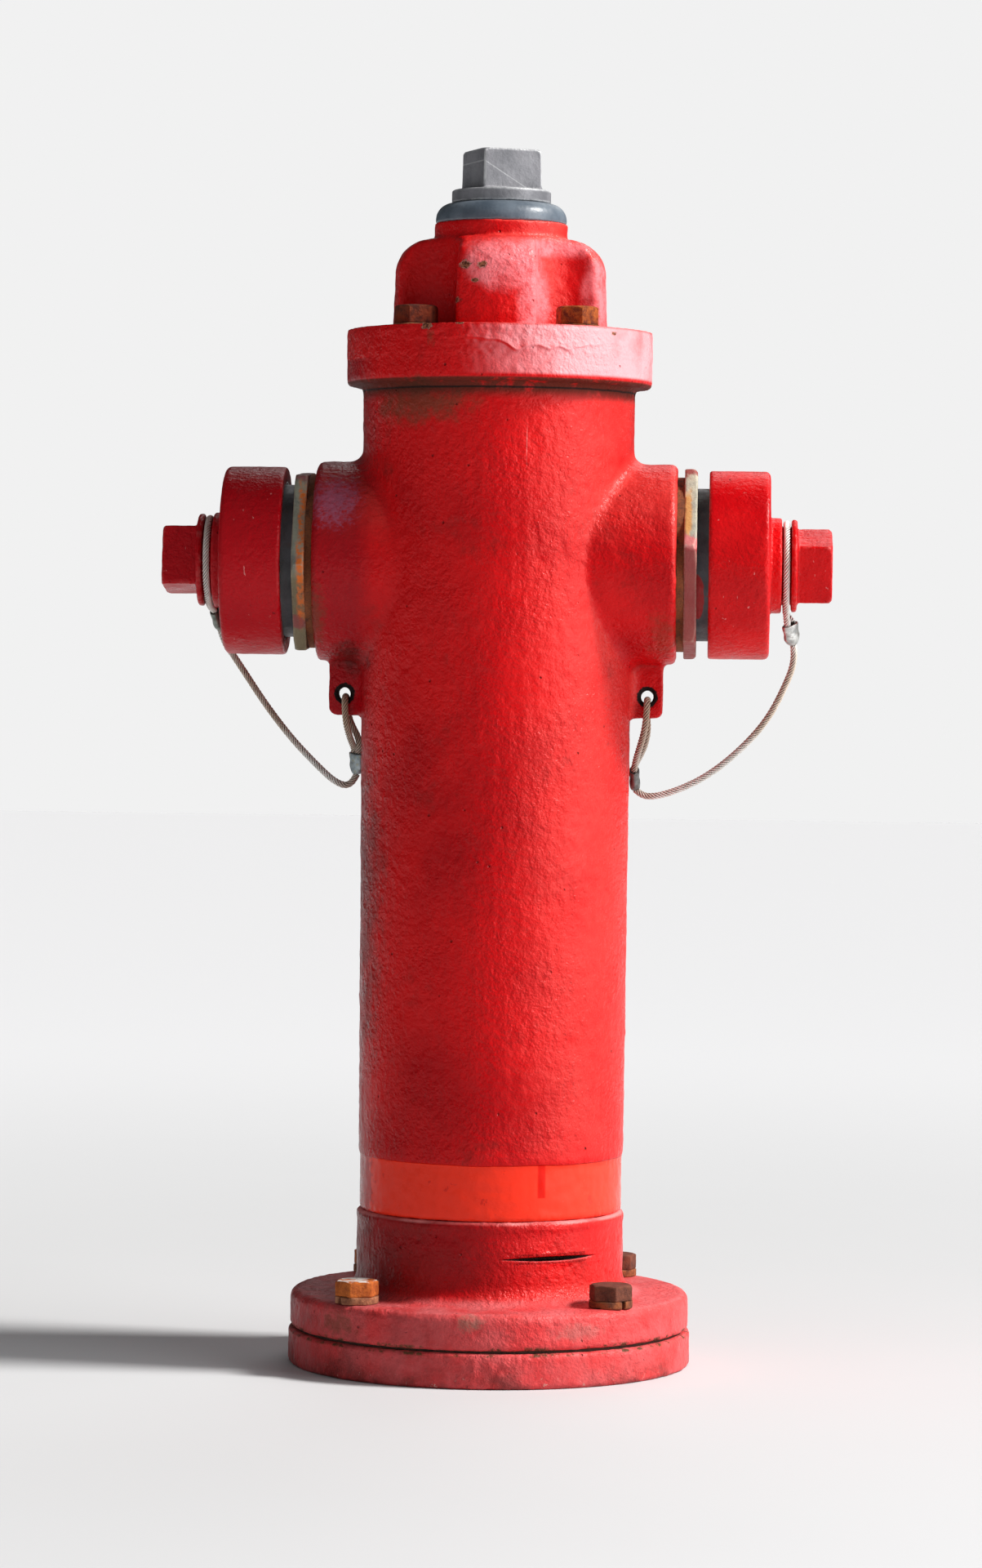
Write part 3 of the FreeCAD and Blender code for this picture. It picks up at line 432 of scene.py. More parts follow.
BRIGHT_RED = rgb(212, 14, 18)
DEEP_RED = rgb(176, 2, 10)
FRESH_ORANGE_RED = rgb(240, 52, 30)
FADED_RED = rgb(212, 62, 62)
PAINTED_HIGHLIGHT_RED = rgb(244, 88, 80)
DUST_AND_SHEEN_PINK = rgb(208, 116, 118)
GRIME_AND_SHADE = rgb(70, 32, 26)
BROWN_STAIN_AND_SHADOW = rgb(96, 60, 40)
DARK_RUST_AND_SHADOW = rgb(70, 36, 24)
SOOT_AND_SHADE = rgb(26, 15, 13)
PRIMER = rgb(214, 176, 158)
LIT_SIDE = (0.62, -0.42, 0.62)
ENAMEL_GLOSS = 0.15
ENAMEL_RELIEF = 0.0017


def floor_finish():
    look = Finish("pale_floor")
    near = look.mix(look.noise(3), rgb(204, 206, 208), rgb(207, 209, 211))
    look.colour = look.mix(look.from_axis().ramp(0.4, 2.2), near, rgb(224, 226, 229))
    return look.finish(0.8, gloss=0.1)


def paint(look, grime_and_shade_share, painted_light_share=0.0):
    """Lays the enamel's colour, before any local marks, with painted light on the side that faces the light
    and grime and painted shade in the hollows. Returns its roughness and its bump.
    """
    look.colour = look.mix(look.noise(9, 4, 0.6).ramp(0.32, 0.6), DEEP_RED, BRIGHT_RED)
    look.coat(FADED_RED, look.noise(55, 5, 0.65).ramp(0.5, 0.78) * 0.12)
    look.coat(DEEP_RED, look.noise(1, 4, 0.6, (150, 150, 14)).ramp(0.55, 0.8) * 0.2)
    # Painted light: the enamel turns a lighter pink-red where it faces the light.
    if painted_light_share:
        painted_light = look.towards(LIT_SIDE).ramp(0.45, 1.0, 0, painted_light_share)
        look.coat(PAINTED_HIGHLIGHT_RED, painted_light * look.noise(24, 4).ramp(0.3, 0.6, 0.55, 1.0))
    pits = look.dots(150, 0.15, 0.14)
    clouds = look.noise(34, 6, 0.7).ramp(0.56, 0.76)
    # Grime in clouds and pits, and painted shade in the hollows.
    dirt_and_shade = clouds * grime_and_shade_share | look.hollows(0.485, 0.42) * grime_and_shade_share | pits * 0.6
    look.coat(GRIME_AND_SHADE, dirt_and_shade)
    look.coat(FADED_RED, look.edges(0.54, 0.62) * 0.25)
    roughness = look.noise(70).ramp(0.3, 0.7, 0.24, 0.38) + dirt_and_shade * 0.35
    height = look.noise(330) * 0.75 + look.noise(760, 2, 0.5) * 0.25
    height = height * look.noise(16, 2).ramp(0.36, 0.62, 0.5, 1.0) + pits * -0.8
    return roughness, height


def ring_painted_highlight(look):
    """The ring at the top of the barrel, with a painted highlight in pink towards the right, where the
    light falls.
    """
    up = look.axis(2)
    share = look.towards((0.9, -0.42, 0.1)).ramp(0.2, 0.85) * up.ramp(0.5405, 0.5425)
    share = share * up.ramp(0.5690, 0.5665) * look.noise(30, 5, 0.6).ramp(0.3, 0.55, 0.45, 0.9)
    look.coat(rgb(250, 170, 176), share)


def barrel_finish():
    look = Finish("barrel_enamel")
    roughness, height = paint(look, 0.42, 0.5)
    x, up = look.axis(0), look.axis(2)
    # A band of fresher paint at the barrel's foot, with stale patches at the left, one drip, and painted
    # light where it faces the light.
    wavy = up + look.noise(40) * 0.002
    band = wavy.ramp(0.0858, 0.0868) * wavy.ramp(0.1168, 0.1160)
    ragged = look.blot((-0.078, -0.02, 0.1), (0.022, 0.06, 0.06)) + look.noise(220, 5) * 0.6
    stale = ragged.ramp(0.55, 0.65) | look.noise(120, 4).ramp(0.66, 0.7) * 0.6
    fresh = look.mix(stale * 0.75, FRESH_ORANGE_RED, DEEP_RED)
    fresh = look.mix(look.towards(LIT_SIDE).ramp(0.55, 0.95, 0, 0.35), fresh, rgb(250, 96, 78))
    drip = x.within(0.0285, 0.0325, 0.0006) * wavy.ramp(0.0985, 0.0995)
    look.coat(look.mix(drip, fresh, rgb(216, 22, 8)), band)
    ring_painted_highlight(look)
    # Scuffs under the ring, and painted shade down the left side.
    lines = look.noise(1, 2, 0.5, (700, 700, 18)).ramp(0.66, 0.74)
    scuffed = look.blot((0.032, -0.07, 0.505), (0.034, 0.05, 0.03)).ramp(0.1, 0.7)
    look.coat(rgb(226, 120, 116), lines * (scuffed * 0.75))
    look.coat(rgb(112, 10, 24), x.ramp(-0.062, -0.078, 0, 0.55))
    # Painted reflection: a speckled lilac patch on the top of the left boss.
    look.stain(rgb(150, 118, 152), 0.4, (-0.087, -0.045, 0.474), (0.020, 0.05, 0.022), 380)
    look.stain(BROWN_STAIN_AND_SHADOW, 0.6, (-0.098, -0.045, 0.410), (0.010, 0.05, 0.030), 140)
    look.stain(GRIME_AND_SHADE, 0.75, (-0.080, -0.01, 0.388), (0.017, 0.06, 0.016))
    look.stain(BROWN_STAIN_AND_SHADOW, 0.4, (0.092, -0.04, 0.402), (0.014, 0.05, 0.022), 150)
    look.stain(GRIME_AND_SHADE, 0.5, (-0.072, -0.03, 0.25), (0.022, 0.05, 0.13))
    # A brown stain with painted shadow under the ring's front.
    look.stain(BROWN_STAIN_AND_SHADOW, 0.75, (-0.040, -0.06, 0.527), (0.050, 0.05, 0.018), 70)
    # Rust and painted shadow under the ring, a dark line of painted shade in the crease beneath it, and
    # near-black rims round the lugs' holes.
    rust = up.ramp(0.5270, 0.5345) * up.ramp(0.5402, 0.539) * look.noise(120, 4).ramp(0.2, 0.45)
    look.coat(DARK_RUST_AND_SHADOW, rust * 0.9)
    crease_shade_line = (up + look.noise(60, 2) * 0.0012).within(0.5348, 0.5358, 0.0003)
    look.coat(SOOT_AND_SHADE, crease_shade_line * 0.9)
    reach, level = LUG_HOLE
    halves = (0.0068, 0.02, 0.0068)
    holes = look.blot((reach, 0, level), halves) | look.blot((-reach, 0, level), halves)
    bare = (holes + look.noise(500) * 0.3).ramp(0.22, 0.32)
    look.coat(SOOT_AND_SHADE, bare)
    roughness = roughness + (rust | bare) * 0.4 + band * -0.08
    return look.finish(roughness, height * (band * -0.85 + 1.0), ENAMEL_RELIEF, ENAMEL_GLOSS)


def foot_finish():
    look = Finish("foot_enamel")
    roughness, height = paint(look, 0.5, 0.3)
    x, up = look.axis(0), look.axis(2)
    # Dust on the flanges, with painted sheen on faces that look up; painted shade in wine red on the hub's
    # left and middle, grime and painted shade towards the left, and a painted highlight round the hub's
    # top.
    cloudy = look.noise(42, 5, 0.6).ramp(0.36, 0.62)
    dusty = up.ramp(0.046, 0.040) * (cloudy * 0.22 + 0.22)
    top = look.upward().ramp(0.5, 0.95) * (cloudy * 0.35 + 0.3)
    look.coat(DUST_AND_SHEEN_PINK, dusty | top)
    look.coat(rgb(124, 8, 16), up.ramp(0.040, 0.050) * x.ramp(0.045, -0.01, 0, 0.6))
    look.coat(GRIME_AND_SHADE, x.ramp(0.03, -0.09) * look.noise(26, 5, 0.7).ramp(0.38, 0.62, 0, 0.45))
    rim = up.ramp(0.0828, 0.0842) * look.noise(26, 4).ramp(0.35, 0.6, 0.1, 0.7)
    look.coat(rgb(244, 150, 148), rim)
    look.stain(BROWN_STAIN_AND_SHADOW, 0.6, (-0.0775, -0.075, 0.029), (0.015, 0.05, 0.013), 140)
    look.stain(rgb(140, 112, 98), 0.6, (-0.0055, -0.108, 0.035), (0.011, 0.02, 0.007), 170)
    look.stain(rgb(150, 120, 112), 0.35, (0.052, -0.1, 0.03), (0.02, 0.03, 0.007), 150)
    # Splashes and flecks near the ground, chips on the lips of the joint, and the slit's walls: rust brown
    # above, painted shade below.
    look.coat(GRIME_AND_SHADE, up.ramp(0.02, 0.0) * look.noise(34, 5, 0.7).ramp(0.42, 0.62) * 0.55)
    flecks = up.ramp(0.012, 0.0) * look.noise(300, 5, 0.75).ramp(0.62, 0.68)
    look.coat(rgb(196, 178, 164), flecks * 0.7)
    lips = up.within(0.0205, 0.0225, 0.0008) | up.within(0.0175, 0.0192, 0.0006)
    chips = lips * look.noise(110, 4, 0.7).ramp(0.5, 0.6)
    look.coat(BROWN_STAIN_AND_SHADOW, chips)
    slit = look.from_axis().ramp(HUB_RADIUS - 0.0005, HUB_RADIUS - 0.0012)
    slit = slit * up.within(SLIT_HEIGHT - 0.0022, SLIT_HEIGHT + 0.0022, 0.0005)
    brown_wall = up.ramp(SLIT_HEIGHT - 0.0002, SLIT_HEIGHT + 0.001)
    look.coat(look.mix(brown_wall, SOOT_AND_SHADE, DARK_RUST_AND_SHADOW), slit)
    return look.finish(roughness + (dusty | top | chips) * 0.3, height, ENAMEL_RELIEF, ENAMEL_GLOSS)


def bonnet_finish():
    look = Finish("bonnet_enamel")
    roughness, height = paint(look, 0.12, 0.75)
    ring_painted_highlight(look)
    # Painted highlight in pale pink on the front lobe's upper half and right edge, on the right-hand lobe
    # and on the collar.
    painted_highlight = look.blot((0.006, -0.058, 0.603), (0.026, 0.02, 0.017))
    painted_highlight = painted_highlight | look.blot((0.022, -0.05, 0.580), (0.012, 0.03, 0.034))
    painted_highlight = painted_highlight | look.blot((0.058, -0.02, 0.588), (0.014, 0.04, 0.026))
    painted_highlight = painted_highlight | look.blot((0.02, -0.03, 0.6125), (0.04, 0.04, 0.006)) * 0.5
    ragged = (painted_highlight + look.noise(60, 6, 0.75) * 1.1).ramp(0.45, 0.95)
    speckled = look.noise(110, 6, 0.75).ramp(0.32, 0.6, 0.3, 0.9)
    look.coat(rgb(255, 136, 142), ragged * painted_highlight.ramp(-0.35, 0.25) * speckled)
    look.stain(BROWN_STAIN_AND_SHADOW, 0.6, (-0.034, -0.082, 0.5605), (0.004, 0.02, 0.007), 150)
    # Chips, with a pale rim and a rusty middle: the centre and the half sizes of each.
    chips = [
        ((-0.0169, -0.056, 0.6013), (0.0042, 0.02, 0.0038)),
        ((-0.0075, -0.056, 0.6013), (0.0036, 0.02, 0.0029)),
        ((-0.0116, -0.056, 0.5930), (0.0031, 0.02, 0.0017)),
        ((-0.0220, -0.054, 0.5823), (0.0044, 0.02, 0.0024)),
        ((-0.0361, -0.076, 0.5668), (0.0042, 0.012, 0.0028)),
        ((-0.0180, -0.082, 0.5683), (0.0034, 0.008, 0.0012)),
        ((0.0637, -0.053, 0.5647), (0.0019, 0.008, 0.0016)),
    ]
    flaked = look.blot(*chips[0])
    for place in chips[1:]:
        flaked = flaked | look.blot(*place)
    edge = flaked + look.noise(380, 5, 0.75) * 1.9
    inside = flaked.ramp(0.0, 0.25)
    rim = edge.ramp(1.22, 1.3) * inside
    look.coat(PRIMER, rim * 0.6)
    flakes = look.mix(look.noise(900).ramp(0.45, 0.55), rgb(88, 46, 32), rgb(150, 92, 66))
    look.coat(flakes, edge.ramp(1.34, 1.42) * inside)
    return look.finish(roughness + rim * 0.4, height + rim * -0.8, ENAMEL_RELIEF, ENAMEL_GLOSS)


def cap_finish(side):
    look = Finish(side + "_cap_enamel")
    roughness, height = paint(look, 0.2)
    # Painted shade: the left cap is darker.
    if side == "left":
        look.coat(rgb(128, 0, 22), 0.5)
    look.coat(rgb(222, 150, 146), look.noise(1, 3, 0.5, (420, 420, 130)).ramp(0.71, 0.75) * 0.6)
    rim_dust = look.edges(0.52, 0.6) * look.noise(160, 4).ramp(0.45, 0.6)
    look.coat(rgb(220, 128, 124), rim_dust * 0.5)
    bare = look.edges(0.56, 0.66) * look.noise(210, 4).ramp(0.56, 0.62)
    look.coat(DARK_RUST_AND_SHADOW, bare * 0.7)
    return look.finish(roughness, height, 0.0013, ENAMEL_GLOSS)


def hold_down_finish():
    look = Finish("blue_grey_enamel")
    look.colour = look.mix(look.noise(60, 4).ramp(0.3, 0.7), rgb(72, 84, 96), rgb(104, 115, 126))
    # Dirt, and painted shade in the hollows.
    look.coat(rgb(48, 44, 42), (look.hollows() | look.noise(120, 5, 0.7).ramp(0.6, 0.75)) * 0.5)
    look.coat(rgb(150, 158, 164), look.edges() * 0.5)
    return look.finish(look.noise(200).ramp(0.3, 0.7, 0.34, 0.5), look.noise(500), 0.0002)


def iron_finish():
    look = Finish("dark_iron")
    cloud = look.noise(55, 5, 0.6).ramp(0.3, 0.72)
    look.colour = look.mix(cloud, rgb(104, 105, 110), rgb(134, 134, 139))
    worn = look.edges(0.51, 0.56) * look.noise(150, 4).ramp(0.35, 0.6, 0.45, 1.0)
    look.coat(rgb(196, 198, 200), worn)
    look.coat(rgb(96, 88, 80), look.noise(45, 6, 0.7).ramp(0.58, 0.78) * 0.35)
    # A pale scratch across the square.
    along = Matrix.Rotation(math.radians(24), 3, "Z") @ Vector((0.5, 0, 0.87))
    off_line = abs(look.vector("DOT_PRODUCT", look.place, tuple(along), "Value") + -0.5665)
    scratch = (off_line + look.noise(90, 2) * 0.0003).ramp(0.0006, 0.0003)
    look.coat(rgb(186, 188, 190), scratch * look.axis(2).ramp(0.645, 0.648) * 0.5)
    roughness = look.noise(180).ramp(0.3, 0.7, 0.42, 0.6)
    return look.finish(roughness, look.noise(420, 4, 0.6), 0.0003, metal=0.15)


def rusty_finish(name, left, right):
    """Rusted steel. left and right are each (light, dark, the colour of faces that look up, its share)."""
    look = Finish(name)
    patches = look.noise(210, 6, 0.7).ramp(0.35, 0.65)
    bright = look.noise(520).ramp(0.6, 0.72, 0, 0.55)
    upward = look.upward().ramp(0.6, 0.9)
    cover = look.noise(140, 4).ramp(0.4, 0.5)
    looks = []
    for light, dark, top_colour, top_share in (left, right):
        tint = look.mix(bright, look.mix(patches, dark, light), light)
        looks.append(look.mix(upward * (cover * top_share), tint, top_colour))
    look.colour = look.mix(look.math("GREATER_THAN", look.axis(0), 0.0), *looks)
    look.coat(rgb(46, 27, 21), look.noise(330, 5, 0.7).ramp(0.62, 0.72) * 0.8)
    height = look.noise(450, 5, 0.7) + look.noise(1300, 2) * 0.3
    return look.finish(0.86, height, 0.0007, 0.3)


def lock_ring_finish(side):
    look = Finish(side + "_lock_ring_zinc")
    ragged = look.noise(110, 5, 0.7)
    up = look.axis(2) + ragged * 0.012
    cloud = look.noise(80, 5, 0.65).ramp(0.35, 0.65)
    inner = (abs(look.axis(0)) + ragged * 0.006).ramp(0.1108, 0.1088)
    if side == "right":
        look.colour = look.mix(cloud, rgb(190, 184, 162), rgb(150, 148, 136))
        look.coat(rgb(206, 142, 62), inner * up.within(0.463, 0.487, 0.003) * 0.85)
        look.coat(rgb(212, 100, 104), up.within(0.454, 0.463, 0.0015) * 0.8)
        look.coat(rgb(140, 26, 30), (up.ramp(0.457, 0.454) | up.ramp(0.494, 0.497)) * 0.9)
    else:
        look.colour = look.mix(cloud, rgb(138, 138, 120), rgb(104, 107, 101))
        look.coat(rgb(104, 84, 40), up.ramp(0.446, 0.434) * 0.7)
        orange = inner * up.within(0.412, 0.49, 0.004)
        look.coat(rgb(206, 100, 18), orange * look.noise(230, 5, 0.75).ramp(0.4, 0.56, 0.1, 1.0))
        red = up.ramp(0.489, 0.494) | up.within(0.4105, 0.4165, 0.001)
        look.coat(rgb(132, 40, 52), red * 0.75)
    look.coat(DARK_RUST_AND_SHADOW, look.noise(190, 5, 0.7).ramp(0.62, 0.72, 0, 0.7))
    look.coat(rgb(196, 190, 170), look.edges() * 0.35)
    return look.finish(look.noise(150).ramp(0.3, 0.7, 0.5, 0.75), look.noise(380, 5, 0.65), 0.0005)


def neck_finish(side):
    look = Finish(side + "_neck_charcoal")
    look.colour = look.mix(look.noise(60, 5).ramp(0.35, 0.65), rgb(58, 60, 64), rgb(84, 87, 92))
    look.coat(rgb(140, 140, 138), look.edges() * 0.5)
    if side == "right":
        patch = look.blot((0.1103, -0.037, 0.4225), (0.005, 0.02, 0.016))
        look.coat(DEEP_RED, (patch + look.noise(160, 4) * 0.5).ramp(0.38, 0.5))
    look.coat(DEEP_RED, look.noise(90, 5, 0.7).ramp(0.68, 0.72) * 0.6)
    look.coat(rgb(86, 66, 50), look.noise(140, 5, 0.7).ramp(0.55, 0.75) * 0.4)
    look.coat(rgb(112, 66, 38), abs(look.axis(0)).ramp(0.1035, 0.1022) * 0.9)
    roughness = look.noise(160).ramp(0.3, 0.7, 0.4, 0.6)
    return look.finish(roughness, look.noise(500, 4), 0.00025, metal=0.1)


def rope_finish():
    look = Finish("galvanised_rope")
    look.colour = look.mix(look.noise(120, 4).ramp(0.3, 0.7), rgb(216, 213, 205), rgb(246, 245, 241))
    tan = look.noise(60, 5, 0.7).ramp(0.46, 0.64, 0, 0.4)
    look.coat(rgb(166, 128, 90), tan | look.axis(2).within(0.342, 0.394, 0.014) * 0.6)
    look.coat(rgb(150, 112, 76), abs(look.axis(0)).ramp(0.092, 0.084) * 0.5)
    look.coat(rgb(90, 70, 54), look.noise(260, 5, 0.7).ramp(0.64, 0.76) * 0.35)
    # Dirt and shade lie between the strands.
    reach = look.add("ShaderNodeAttribute", output="Fac", attribute_name="reach")
    look.coat(rgb(44, 34, 28), reach.ramp(0.00168, 0.0013))
    roughness = look.noise(300).ramp(0.3, 0.7, 0.34, 0.55)
    return look.finish(roughness, look.noise(1500, 2), 0.0001, 0.6)


def ferrule_finish(name, light, dark, spot, spot_share, metal):
    look = Finish(name)
    look.colour = look.mix(look.noise(260, 5, 0.65).ramp(0.3, 0.7), dark, light)
    look.coat(spot, look.noise(420, 5, 0.7).ramp(0.5, 0.68) * spot_share)
    # Painted shade in the hollows.
    look.coat(rgb(52, 46, 40), look.hollows(0.49, 0.42))
    roughness = look.noise(500).ramp(0.3, 0.7, 0.28, 0.5)
    return look.finish(roughness, look.noise(900), 0.0002, metal=metal)


def turned_finish(name, rings, colours, spots, spot, roughness):
    """Turned metal: fine rings, and spots that are (features in a metre, low, high, share)."""
    look = Finish(name)
    grooves = look.noise(1, 3, 0.5, rings)
    look.colour = look.mix(grooves.ramp(0.3, 0.7), *colours)
    scale, low, high, share = spots
    look.coat(spot, look.noise(scale, 5, 0.7).ramp(low, high) * share)
    return look.finish(grooves.ramp(0.3, 0.7, *roughness), grooves, 0.00006, metal=0.9)


def rubber_finish():
    look = Finish("black_rubber")
    bloom = look.noise(90, 5, 0.7).ramp(0.5, 0.75)
    look.colour = look.mix(bloom * 0.5, rgb(26, 26, 27), rgb(66, 64, 62))
    return look.finish(bloom.ramp(0, 1, 0.55, 0.8), look.noise(900), 0.00015)


def sheet_finish(name, dark, light):
    look = Finish(name)
    fibres = look.noise(1, 4, 0.7, (900, 900, 3000))
    look.colour = look.mix(fibres.ramp(0.3, 0.7), dark, light)
    look.coat(SOOT_AND_SHADE, look.noise(120, 5, 0.7).ramp(0.5, 0.66) * 0.6)
    return look.finish(0.85, fibres, 0.0002)


# Castings and forgings: a CAD node's own shape, with the skin that casting, paint and wear give it


def roughen(piece, waves, grain, grain_size):
    """Moves the surface in and out by half of waves in long waves, and by half of grain in short ones."""
    for name, size, depth in (("waves", WAVE_LENGTH, waves), ("grain", grain_size, grain)):
        clouds = bpy.data.textures.new(name, "CLOUDS")
        clouds.noise_scale = size
        clouds.noise_depth = 1
        clouds.noise_basis = "IMPROVED_PERLIN"
        push = piece.modifiers.new(name, "DISPLACE")
        push.texture = clouds
        push.texture_coords = "LOCAL"
        push.strength = depth
        push.mid_level = 0.5
    bake_modifiers(piece)


def skin(name, node, voxel, softness, *roughness):
    """A CAD node's shape as an even mesh that lies on it, with soft edges and an uneven skin."""
    source = NODES[node]
    piece = link(bpy.data.objects.new(name, source.data.copy()))
    weld(piece, turn_out=False)
    even = piece.modifiers.new("even", "REMESH")
    even.mode = "VOXEL"
    even.voxel_size = voxel
    hold = piece.modifiers.new("hold", "SHRINKWRAP")
    hold.target = source
    hold.wrap_method = "NEAREST_SURFACEPOINT"
    soft = piece.modifiers.new("soft", "SMOOTH")
    soft.factor = 0.5
    soft.iterations = softness
    roughen(piece, *roughness)
    return piece


def casting(node, voxel):
    """A sand casting's rough skin, with the same waves and grain on neighbours that meet."""
    return skin("cast_" + node, node, voxel, 2, *CAST_ROUGHNESS)


def raise_surface(piece, heights):
    """Moves each point out along its normal by its height."""
    move_points(piece, vectors_of(piece) + vectors_of(piece, "normal") * heights[:, None])


def thin_inside(piece, radius, share):
    """Fewer faces on the surface that lies nearer to the Z axis than radius."""
    points = vectors_of(piece)
    inside = np.hypot(points[:, 0], points[:, 1]) < radius
    group = piece.vertex_groups.new(name="inside")
    group.add(np.flatnonzero(inside).tolist(), 1.0, "REPLACE")
    fewer = piece.modifiers.new("fewer", "DECIMATE")
    fewer.vertex_group = "inside"
    fewer.ratio = share
    bake_modifiers(piece)
    piece.vertex_groups.clear()


def clear_bore(piece, radius, top):
    """Moves the skin of the bore on the Z axis, up to the height top, out to radius."""
    points = vectors_of(piece)
    reach = np.hypot(points[:, 0], points[:, 1])
    inside = (reach < radius) & (points[:, 2] < top)
    points[inside, :2] *= (radius / reach[inside])[:, None]
    move_points(piece, points)


def paint_run(points):
    """How thick the run of paint on the joint's front is: a coat with a beaded, wavy lower edge."""
    bearing = np.degrees(np.arctan2(points[:, 0], -points[:, 1]))
    edge = 0.5607 - 0.0042 * smooth_step(bearing, -9, 14) + 0.0018 * smooth_step(bearing, 31, 44)
    edge += 0.0003 * np.sin(bearing * 0.9)
    drips = ((8.6, 2.6, 0.0036), (21.2, 2.3, 0.0019), (28.6, 2.0, 0.0021), (-5, 2.5, 0.0006))
    for middle, width, drop in drips:
        edge = edge - drop * np.exp(-(((bearing - middle) / width) ** 2))
    ends = smooth_step(bearing, -21, -14) * (1 - smooth_step(bearing, 38, 48))
    above = points[:, 2] - edge
    coat = 0.00045 * smooth_step(above, -0.0005, 0.0003) * (1 - smooth_step(above, 0.0005, 0.005))
    bead = 0.00035 * np.exp(-((above / 0.0007) ** 2))
    return ends * (coat + bead)


def lumps(points, spots, radius, height):
    """Heights of small round lumps, or pits where height is negative, at the given spots."""
    out = np.zeros(len(points))
    for spot in spots:
        apart = np.linalg.norm(points - np.array(spot), axis=1)
        out = np.maximum(out, np.exp(-((apart / radius) ** 2)))
    return out * height


def scattered(draw, count, radius, low, high):
    """Random places on an upright cylinder."""
    turns = draw.uniform(0, 2 * math.pi, count)
    heights = draw.uniform(low, high, count)
    return list(zip(radius * np.cos(turns), radius * np.sin(turns), heights))


def narrow_lug_holes(piece):
    """Old paint and rust line the tether holes, so that they are narrower than drilled."""
    points = vectors_of(piece)
    for side in SIDES.values():
        across = points[:, 0] - side * LUG_HOLE[0]
        up = points[:, 2] - LUG_HOLE[1]
        reach = np.hypot(across, up)
        lining = LUG_HOLE_LINING * smooth_step(reach, LUG_HOLE_SPREAD, LUG_HOLE_RADIUS)
        share = 1 - lining / np.maximum(reach, MM)
        close = (reach < LUG_HOLE_SPREAD) & (np.abs(points[:, 1]) < LUG_THICKNESS)
        share = np.where(close, share, 1)
        points[:, 0] = side * LUG_HOLE[0] + across * share
        points[:, 2] = LUG_HOLE[1] + up * share
    move_points(piece, points)


def cast_barrel():
    piece = casting("barrel", 0.0018)
    points = vectors_of(piece)
    draw = np.random.default_rng(11)
    wall = (0.074, 0.125, 0.53)
    raised = lumps(points, scattered(draw, 60, *wall), 0.0020, 0.0005)
    raise_surface(piece, raised + lumps(points, scattered(draw, 50, *wall), 0.0017, -0.0007))
    narrow_lug_holes(piece)
    thin_inside(piece, 0.066, 0.62)
    stand_in(piece, "barrel", barrel_finish())


def cut_slit(piece):
    """Makes the mesh fine round the slit in the hub, and pushes it in along the slit's V."""
    towards = np.array(heading(SLIT_BEARING).xy)
    half, side, depth, fade = 0.0045, 0.064, 0.006, 0.0015
    work = bmesh.new()
    work.from_mesh(piece.data)
    near = []
    for edge in work.edges:
        middle = (edge.verts[0].co + edge.verts[1].co) / 2
        outer = middle.xy.length > HUB_RADIUS - depth and middle.xy @ Vector(towards) > side
        if outer and abs(middle.z - SLIT_HEIGHT) < half:
            near.append(edge)
    bmesh.ops.subdivide_edges(work, edges=near, cuts=3, use_grid_fill=True)
    work.to_mesh(piece.data)
    work.free()
    points = vectors_of(piece)
    flat = points[:, :2]
    radius = np.linalg.norm(flat, axis=1)
    rise = np.abs(points[:, 2] - SLIT_HEIGHT)
    outside = radius > HUB_RADIUS - depth
    near = outside * smooth_step(rise, half, half - fade)
    near = near * smooth_step(flat @ towards, side, side + fade)
    flat = flat * (1 + (HUB_RADIUS / radius - 1) * near)[:, None]
    centre = -SLIT_OFFSET * towards
    away = flat - centre
    distance = np.linalg.norm(away, axis=1)
    bottom = SLIT_RADIUS + rise / SLIT_SLOPE
    bitten = outside & (flat @ towards > side) & (distance > bottom)
    flat = np.where(bitten[:, None], centre + away * (bottom / distance)[:, None], flat)
    points[:, :2] = flat
    move_points(piece, points)
    piece.data.shade_smooth()


def cast_foot():
    finish = foot_finish()
    draw = np.random.default_rng(5)
    foot = casting("foot_flange", 0.0014)
    points = vectors_of(foot)
    pits = lumps(points, scattered(draw, 40, 0.110, 0.024, 0.037), 0.0015, -0.0007)
    pits = pits + lumps(points, scattered(draw, 40, 0.0735, 0.048, 0.079), 0.0014, -0.0007)
    raise_surface(foot, pits)
    cut_slit(foot)
    stand_in(foot, "foot_flange", finish)
    base = casting("base_flange", 0.0014)
    points = vectors_of(base)
    pits = lumps(points, scattered(draw, 40, 0.111, 0.003, 0.017), 0.0015, -0.0007)
    # The mould's parting line and four lumps on the front.
    x, up = points[:, 0], points[:, 2]
    front = -np.sqrt(0.111 ** 2 - x ** 2, where=np.abs(x) < 0.1, out=np.zeros(len(points)))
    on_front = np.abs(points[:, 1] - front) < 0.004
    flash = 0.0008 * np.exp(-(((x + 0.003) / 0.0011) ** 2)) * on_front
    flash = flash * smooth_step(up, 0.001, 0.004) * smooth_step(up, 0.0175, 0.0155)
    spots = ((0.006, 0.012), (0.0105, 0.008), (0.0135, 0.0135), (0.019, 0.0075))
    spots = [(across, -0.1103, height) for across, height in spots]
    raise_surface(base, pits + flash + lumps(points, spots, 0.0022, 0.0009))
    stand_in(base, "base_flange", finish)


